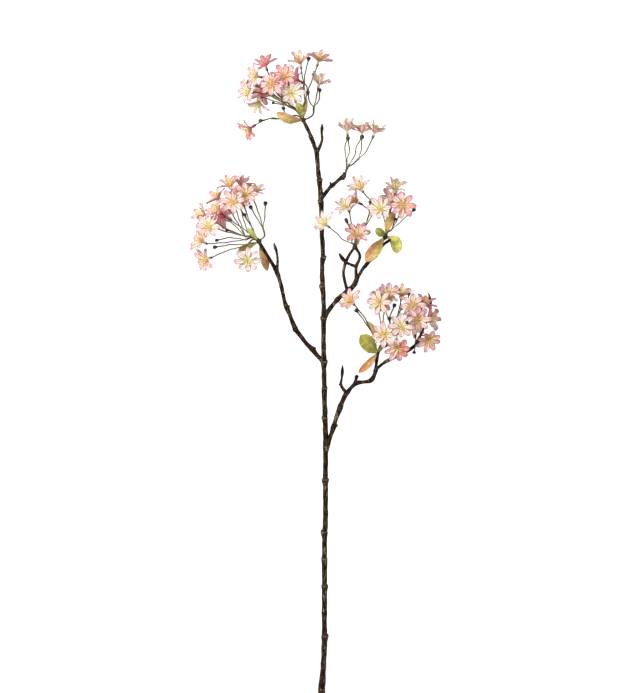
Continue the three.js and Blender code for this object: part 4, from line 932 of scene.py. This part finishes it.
STALK_RADIUS = 0.001
STALK_ROOT = 0.0007  # radius of a stalk where it leaves its fork
STALK_SIDES = 8
STALK_STEP = 0.0012
STALK_STRAIGHT = 0.009  # how far a stalk runs straight into its bloom, where no point is given
STALK_WANDER = 0.00038  # how far a stalk strays from its curve
MAIN_RADIUS = 0.00125  # of a main stalk where it bends, and where it ends in a fork
FORK_RADIUS = 0.0018
KNOB_RADIUS = 0.004
KNOB_LENGTH = 0.011
KNOB_RINGS = 14
KNOB_SIDES = 20
KNOB_LUMPS = 0.16  # by what share the knob's radius differs
BUD_RINGS = 14
BUD_SIDES = 15  # three to each rib
BUD_SHOULDER = 0.62  # share of its length where a bud is thickest
BUD_FOOT = 0.45  # share of its length from a bud's middle to the end of its stalk
BUD_RIBS = 0.07  # height of the ribs as a share of its radius
# Radius of a cup's rings, and their height above the end of the stalk.
CUP = [(0.0010, -0.0012), (0.0017, -0.0004), (0.0021, 0.0006), (0.0019, 0.0016), (0.0013, 0.0020)]
CUP_SIDES = 12
SEPALS = 5
SEPAL_RINGS = 8  # and the points of each
SEPAL_LENGTH = 0.0048
SEPAL_WIDTH = 0.0017
SEPAL_THICKNESS = 0.00044

stalk_finish = Finish("stalk", {"Specular IOR Level": 0.35})
brown, budding = stalk_finish.attributes("brown", "bud")
fibre = stalk_finish.noise(500, 3)
stalk_colour = stalk_finish.layers(
    stalk_finish.mix(fibre.between(0.4, 0.6), (60, 56, 28), (140, 134, 76)),
    # Dark brown: the stalks' own, and at their ends under the cups also painted shade.
    (brown, (42, 32, 22)),
    (budding, stalk_finish.mix(fibre.between(0.4, 0.65), (34, 32, 20), (78, 84, 48))),
)
stalk_finish.use(stalk_colour, 0.7 - budding * 0.15, fibre, depth=0.0002, strength=0.5)


def rod(skins, points, radii, brown_at):
    """A round stalk along a smooth curve through the points. At a share u of its length and a distance
    d along it, it strays by STALK_WANDER sin(pi u) times sin(d / 2.9 mm) along the curve's first normal
    and cos(d / 3.7 mm) along its second."""
    curve = spline([(*point, radius) for point, radius in zip(points, radii)], STALK_STEP)
    share = np.linspace(0, 1, len(curve))[:, None]
    reach = distance_along(curve[:, :3])[:, None] + 50 * curve[0, 0]
    _, first, second = carried_frame(curve[:, :3])
    stray = first * np.sin(reach / 0.0029) + second * np.cos(reach / 0.0037)
    path = curve[:, :3] + STALK_WANDER * np.sin(np.pi * share) * stray
    skins.add(round_skin(path, curve[:, 3:] * np.ones(STALK_SIDES)), brown=brown_at(share), bud=0)


def bud_rings(middle, axis, radius, length):
    """A closed bud, shaped like a fig: from a stalk's radius it swells as sin^2 up to its shoulder,
    where it rounds off as sqrt(1 - w^2.6), and five ribs, r (1 + BUD_RIBS cos 5a), run along it."""
    v = np.minimum(np.sin(np.linspace(0, np.pi / 2, BUD_RINGS)), LAST_STATION)[:, None]
    angle = round_turn(BUD_SIDES)[None]
    neck = STALK_RADIUS / radius
    swell = neck + (1 - neck) * np.sin(np.pi / 2 * np.minimum(v / BUD_SHOULDER, 1)) ** 2
    past = np.maximum((v - BUD_SHOULDER) / (1 - BUD_SHOULDER), 0)
    across = radius * swell * np.sqrt(1 - past**2.6) * (1 + BUD_RIBS * np.cos(5 * angle))
    side, other = square_to(axis)
    spoke = side * np.cos(angle)[..., None] + other * np.sin(angle)[..., None]
    return middle + axis * ((v - 0.5) * length)[..., None] + spoke * across[..., None]


def sepal_rings():
    """Five sepals round a tube's foot, in the bloom's own frame: the middle of each leans out of the
    cup as radius 1.4 + 1.6 u + 0.8 u^3 mm over its length, its width is sin(pi u^0.6)^0.8, and it
    curves round the tube."""
    k = np.arange(SEPALS)[:, None, None]
    u = np.linspace(0.02, 0.98, SEPAL_RINGS)[:, None]
    turn = round_turn(SEPAL_RINGS)
    half = SEPAL_WIDTH / 2 * np.sin(np.pi * u**0.6) ** 0.8
    cone = 0.0014 + 0.0016 * u
    radius = cone + 0.0008 * u**3 + SEPAL_THICKNESS / 2 * np.sin(turn)
    angle = k * 2 * np.pi / SEPALS + half * np.cos(turn) / cone
    height = -TUBE_LENGTH + 0.0002 + SEPAL_LENGTH * u + 0 * angle
    return np.stack([radius * np.cos(angle), radius * np.sin(angle), height], -1)


def knob_rings(spring, grows):
    """The knob that a head's stalks spring from: a sphere drawn out along the way that the head grows,
    r = sin(v)^0.7, with lumps r (1 + KNOB_LUMPS sin(4v + 3 sin a))."""
    v = np.linspace(0.05, np.pi - 0.05, KNOB_RINGS)[:, None]
    profile = np.concatenate([KNOB_RADIUS * np.sin(v) ** 0.7, -KNOB_LENGTH / 2 * np.cos(v)], 1)
    knob = lathe(profile, KNOB_SIDES)
    turn = np.linspace(0, 2 * np.pi, KNOB_SIDES)
    knob[..., :2] *= 1 + KNOB_LUMPS * np.sin(4 * v + 3 * np.sin(turn))[..., None]
    return knob @ np.stack([*square_to(grows), grows]) + spring


def ends_brown_and_shaded(share):
    """Dark brown towards the end of a stalk, from 0 at 70% of the way to 0.7 at the end: partly the stalk's
    own brown and partly painted shade under its cup.
    """
    return np.clip((share - 0.7) / 0.3, 0, 1) * 0.7


def starts_brown(share):
    """Brown at the start of a main stalk, and green by its end."""
    return 0.95 * (1 - share)


for head, rows in HEADS.items():
    stalks = Skins()
    spring = np.array(rows["spring"])
    grows = unit(rows["grows"])
    stalks.add(knob_rings(spring, grows), brown=0.9, bud=0)
    forks = np.array(rows["forks"])
    for number, fork in enumerate(forks):
        towards = unit(unit(fork - spring) + grows)
        middle = spring + towards * np.linalg.norm(fork - spring) / 2
        bends = np.array(rows.get("bends", {}).get(number, [middle]))
        beyond = fork + unit(fork - bends[-1]) * FORK_RADIUS / 2
        radii = [STALK_RADIUS, *[MAIN_RADIUS] * len(bends), FORK_RADIUS]
        rod(stalks, [spring, *bends, beyond], radii, starts_brown)
    ends = throats[head] - axes[head] * TUBE_LENGTH
    for end, axis, (_, _, _, fork, passed, _) in zip(ends, axes[head], rows["blooms"]):
        passed = passed or [end - axis * STALK_STRAIGHT]
        rod(stalks, [forks[fork], *passed, end], [STALK_ROOT, *[STALK_RADIUS] * (len(passed) + 1)],
            ends_brown_and_shaded)
    stalks.add(on_each(lathe(CUP, CUP_SIDES), axes[head], ends), brown=0.5, bud=0.3)
    stalks.add(on_each(sepal_rings(), axes[head], throats[head]), brown=0.35, bud=0.2)
    for middle, (radius, length), fork, passed in rows["buds"]:
        before = [forks[fork], *passed]
        axis = unit(np.array(middle) - before[-1])
        foot = middle - axis * length * BUD_FOOT
        rod(stalks, [*before, foot], [STALK_ROOT, *[STALK_RADIUS] * len(before)], ends_brown_and_shaded)
        stalks.add(bud_rings(middle, axis, radius, length), brown=0, bud=1)
    stalks.piece(f"{head}_stems", stalk_finish.material, [f"{head}_stalks"])


# Leaves ----------------------------------------------------------------------------------------
# Young leaves below the heads, folded a little along the midrib, with arched side veins and a gently
# waved edge. They run from yellow green to peach and terracotta, often in one leaf.

LEAF_STATIONS = 44  # steps along a leaf, and points across its front
LEAF_ACROSS = 25
LEAF_THICKNESS = 0.0006
LEAF_FOLD = 0.14  # how deep a leaf is folded along its midrib, as a share of its width
LEAF_WAVE = 0.018  # height of the waves of its edge, as a share of its width
VEINS = 7.2  # side veins along each half of a leaf
VEIN_SLANT = 0.35
VEIN_BREADTH = 0.09  # as a share of the step from vein to vein
VEIN_DEPTH = 0.00009
MIDRIB_BREADTH = 0.0005
MIDRIB_DEPTH = 0.00012  # of the furrow that it makes in the front, and its height on the back
MIDRIB_HEIGHT = 0.0002
RIM_START = 0.86  # share of the half width where the darker rim begins, and its breadth
RIM_BREADTH = 0.12
TIP_TINT = 0.55  # share of the length past which its tip's colour comes in
FOOT_TINT = 0.3  # and up to which its foot's colour fades
# Half width along a leaf: share of the length, share of the widest.
LEAF_OUTLINE = [(0, 0.12), (0.16, 0.46), (0.4, 0.92), (0.55, 1), (0.7, 0.98), (0.83, 0.82),
                (0.92, 0.56), (0.97, 0.3), (1, 0.03)]
SMOOTHING = [0.1, 0.2, 0.4, 0.2, 0.1]  # over neighbouring stations
# For each leaf: foot, middle and tip of the midrib; width; the way its face looks; its slot; and its colours
# at the foot, on its left half, on its right half and at its tip. Where the two halves share a hue, their
# difference is painted highlight and painted shade.
LEAVES = {
    "top_leaf_peach": (
        [(-0.0215, 0.4095, 0.0635), (-0.042, 0.412, 0.076), (-0.062, 0.421, 0.072)], 0.017,
        (0.1, -0.5, 0.85), "leaf_peach", [(128, 122, 56), (160, 146, 72), (222, 158, 116), (230, 160, 118)]),
    "top_leaf_olive": (
        [(-0.021, 0.413, 0.068), (-0.023, 0.424, 0.078), (-0.03, 0.437, 0.082)], 0.013,
        (0.2, -0.4, 0.9), "leaf_green", [(104, 106, 40), (156, 152, 56), (122, 122, 42), (186, 180, 86)]),
    "top_leaf_narrow": (
        [(-0.02, 0.412, 0.0605), (-0.016, 0.43, 0.053), (-0.015, 0.447, 0.05)], 0.006,
        (0.3, 0.1, 0.95), "leaf_peach", [(140, 132, 70), (208, 184, 124), (204, 156, 112), (216, 184, 136)]),
    "left_leaf_yellow": (
        [(-0.092, 0.218, 0.05), (-0.101, 0.228, 0.063), (-0.11, 0.237, 0.066)], 0.009,
        (0.4, 0.1, 0.9), "leaf_green", [(150, 152, 80), (198, 202, 112), (182, 186, 96), (208, 208, 124)]),
    "left_leaf_brown": (
        [(-0.092, 0.2155, 0.0465), (-0.108, 0.209, 0.038), (-0.124, 0.202, 0.036)], 0.011,
        (0.1, -0.35, 0.9), "leaf_green", [(96, 88, 44), (152, 130, 68), (120, 98, 46), (178, 142, 92)]),
    "left_leaf_orange": (
        [(-0.089, 0.212, 0.046), (-0.084, 0.196, 0.04), (-0.077, 0.169, 0.04)], 0.014,
        (0.1, 0.1, 1), "leaf_peach", [(150, 126, 66), (186, 126, 76), (222, 170, 124), (200, 132, 84)]),
    "outer_leaf_apricot": (
        [(0.113, 0.228, 0.054), (0.117, 0.245, 0.058), (0.127, 0.265, 0.06)], 0.013,
        (-0.2, -0.2, 0.95), "leaf_peach", [(150, 146, 66), (216, 178, 110), (222, 146, 88), (228, 160, 104)]),
    "outer_leaf_round": (
        [(0.111, 0.2245, 0.0515), (0.104, 0.23, 0.062), (0.097, 0.237, 0.064)], 0.013,
        (0.1, -0.3, 0.95), "leaf_green", [(98, 104, 40), (154, 160, 60), (126, 130, 44), (152, 154, 60)]),
    "outer_leaf_green": (
        [(0.115, 0.224, 0.051), (0.127, 0.216, 0.053), (0.1315, 0.197, 0.05)], 0.019,
        (0.2, 0.1, 1), "leaf_green", [(124, 128, 54), (198, 200, 92), (178, 176, 76), (202, 198, 102)]),
    "outer_leaf_terracotta": (
        [(0.108, 0.221, 0.053), (0.097, 0.204, 0.062), (0.08, 0.184, 0.06)], 0.02,
        (-0.1, 0.1, 1), "leaf_peach", [(186, 188, 84), (196, 182, 92), (202, 130, 94), (222, 152, 118)]),
    "lower_leaf_green": (
        [(0.0985, 0.038, 0.0425), (0.086, 0.05, 0.054), (0.072, 0.066, 0.056)], 0.025,
        (0.1, 0.2, 1), "leaf_green", [(176, 176, 92), (188, 186, 84), (150, 150, 52), (172, 170, 72)]),
    "lower_leaf_small": (
        [(0.1003, 0.039, 0.043), (0.104, 0.046, 0.054), (0.106, 0.053, 0.06)], 0.009,
        (0.2, -0.3, 0.9), "leaf_green", [(130, 130, 60), (158, 160, 70), (146, 148, 60), (168, 168, 80)]),
    "lower_leaf_orange": (
        [(0.098, 0.0365, 0.0425), (0.088, 0.024, 0.048), (0.069, 0.006, 0.046)], 0.012,
        (0.2, -0.1, 1), "leaf_peach", [(196, 182, 112), (222, 168, 110), (208, 142, 90), (204, 104, 66)]),
    "lower_leaf_peach": (
        [(0.1105, 0.0535, 0.0425), (0.098, 0.07, 0.034), (0.081, 0.089, 0.032)], 0.01,
        (0.1, 0.1, 1), "leaf_peach", [(150, 128, 70), (214, 170, 116), (192, 142, 92), (222, 178, 128)]),
}


def leaf_rings(rib, width, facing):
    """Rings round a leaf, [station, ring point, xyz]. Across it, t from -1 to 1, each half rises as
    fold |t|^1.2 and its edge waves as |t|^3 sin 24s; the side veins are shallow furrows where
    VEINS (s - VEIN_SLANT |t|) is whole, and the midrib is a ridge under the middle. Also returns s, t,
    how much of a vein each point is, and how near the rim it is."""
    curve = spline(rib, np.linalg.norm(np.diff(rib, axis=0), axis=1).sum() / LEAF_STATIONS)
    s = np.linspace(0, 1, len(curve))
    stations, shares = np.array(LEAF_OUTLINE).T
    outline = np.pad(np.interp(s, stations, shares), 2, mode="edge")
    outline = np.convolve(outline, SMOOTHING, "valid")[:, None]
    along = unit(np.gradient(curve, axis=0))
    side = unit(np.cross(along, unit(facing)))
    up = np.cross(side, along)
    s = s[:, None]
    t, face = two_faces(LEAF_ACROSS)
    half = width * outline / 2
    edge = LEAF_WAVE * width * np.sin(24 * s + 1.5 * np.sign(t)) * np.abs(t) ** 3
    phase = VEINS * (s - VEIN_SLANT * np.abs(t))
    furrow = np.exp(-((phase - np.round(phase)) / VEIN_BREADTH) ** 2)
    furrow = furrow * (1 - np.abs(t)) * np.minimum(8 * outline, 1)
    midrib = np.exp(-(t * half / MIDRIB_BREADTH) ** 2)
    fold = (LEAF_FOLD * width * np.abs(t) ** 1.2 + edge) * outline
    skin = LEAF_THICKNESS / 2 * face * np.sqrt(np.maximum(1 - t**2, 0))
    ribbed = -VEIN_DEPTH * furrow - midrib * np.where(face < 0, MIDRIB_HEIGHT, MIDRIB_DEPTH)
    offset = fold + skin + ribbed
    points = curve[:, None] + side[:, None] * (t * half)[..., None] + up[:, None] * offset[..., None]
    return points, s, t, np.maximum(furrow, midrib), np.clip((np.abs(t) - RIM_START) / RIM_BREADTH, 0, 1)


leaf_finish = Finish("leaf", {"Subsurface Weight": 0.06, "Subsurface Scale": 0.002,
                              "Specular IOR Level": 0.25})
vein, edge, *own = leaf_finish.attributes("vein", "edge", "red", "green", "blue")
mottle = leaf_finish.noise(200, 4)
patch = leaf_finish.noise(75, 2)
fine = leaf_finish.noise(1400, 2)
leaf_colour = leaf_finish.layers(
    leaf_finish.node("ShaderNodeCombineColor", None, dict(enumerate(own))),
    (mottle.between(0.38, 0.62) * 0.4, (104, 98, 44)),
    (patch.between(0.52, 0.62) * 0.35, (238, 222, 142)),
    (vein * 0.3, (226, 214, 150)),
    (edge * 0.55, (104, 88, 40)),
)
leaf_finish.use(leaf_colour, 0.5 + mottle * 0.2, fine + vein * 0.6, depth=0.0002, strength=0.5)

for name, (rib, width, facing, slot, colours) in LEAVES.items():
    rings, s, t, veins, rims = leaf_rings(np.array(rib), width, facing)
    foot, left, right, tip = (np.array(screen(*colour)[:3]) for colour in colours)
    s = s[..., None]
    # Where a leaf's two halves share a hue, the lighter half is a painted highlight and the darker one
    # painted shade across its fold; where their hues differ, they are the leaf's own two tones.
    halves = left + (right - left) / (1 + np.exp(-5 * t))[:, None]  # smooth across the midrib
    tint = halves + (tip - halves) * np.clip((s - TIP_TINT) / (1 - TIP_TINT), 0, 1) ** 1.3
    tint = tint + (foot - tint) * np.clip(1 - s / FOOT_TINT, 0, 1)
    blade = Skins()
    blade.add(rings, vein=veins, edge=rims, red=tint[..., 0], green=tint[..., 1], blue=tint[..., 2])
    blade.piece(f"{name}_blade", leaf_finish.material, [name])


# Table, light and camera -----------------------------------------------------------------------
# The branch lies on a plain pale table under soft studio light, seen from straight above.

PICTURE_HEIGHT = 693  # pixels
PIXEL = 0.0016  # metres of the branch's middle height that one pixel spans
VIEW_MIDDLE = (-0.0007, 0.048)  # what the middle of the picture shows
VIEW_HEIGHT = 0.05  # the height at which a pixel spans just that
LENS = 400.0
SENSOR = 36.0
TABLE_REACH = 6.0  # from its middle to each side
TABLE_THICKNESS = 0.02
GLOW = 1.9  # of the lit table, which keeps shadows on it faint
KEY_WATTS = 96
FILL_WATTS = 34
SKY = 0.48

square = TABLE_REACH * np.array([(-1, -1), (1, -1), (1, 1), (-1, 1)])
slab = Skins()
slab.add(np.stack([np.pad(square, ((0, 0), (0, 1)), constant_values=z) for z in (-TABLE_THICKNESS, 0)]))
table_finish = Finish("pale_table", {"Emission Strength": GLOW, "Emission Color": screen(177, 177, 177)})
cloud = table_finish.noise(3, 2)
tone = table_finish.mix(cloud, (176, 176, 176), (178, 178, 178))
table_finish.use(tone, 0.85 + cloud * 0.1, cloud, depth=0.0001, strength=0.1)
table = slab.mesh_object("table", table_finish.material)
table.visible_diffuse = False
table.visible_glossy = False


def soft_light(name, place, size, watts):
    """A square area light that looks at the middle of the picture."""
    light = bpy.data.lights.new(name, "AREA")
    light.size = size
    light.energy = watts
    lamp = bpy.data.objects.new(name, light)
    aim = Vector((*VIEW_MIDDLE, 0)) - Vector(place)
    lamp.location = place
    lamp.rotation_euler = aim.to_track_quat("-Z", "Y").to_euler()
    bpy.context.scene.collection.objects.link(lamp)


soft_light("key", (-2.0, 1.0, 2.2), 0.9, KEY_WATTS)
soft_light("fill", (2.1, -0.8, 2.2), 2.4, FILL_WATTS)
world = bpy.data.worlds.new("studio")
world.use_nodes = True
world.node_tree.nodes["Background"].inputs["Color"].default_value = (1, 1, 1, 1)
world.node_tree.nodes["Background"].inputs["Strength"].default_value = SKY
bpy.context.scene.world = world
bpy.context.scene.view_settings.view_transform = "Standard"

lens = bpy.data.cameras.new("camera")
lens.sensor_fit = "VERTICAL"
lens.sensor_height = SENSOR
lens.lens = LENS
camera = bpy.data.objects.new("camera", lens)
away = PICTURE_HEIGHT * PIXEL * LENS / SENSOR
camera.location = (*VIEW_MIDDLE, VIEW_HEIGHT + away)
bpy.context.scene.collection.objects.link(camera)
bpy.context.scene.camera = camera
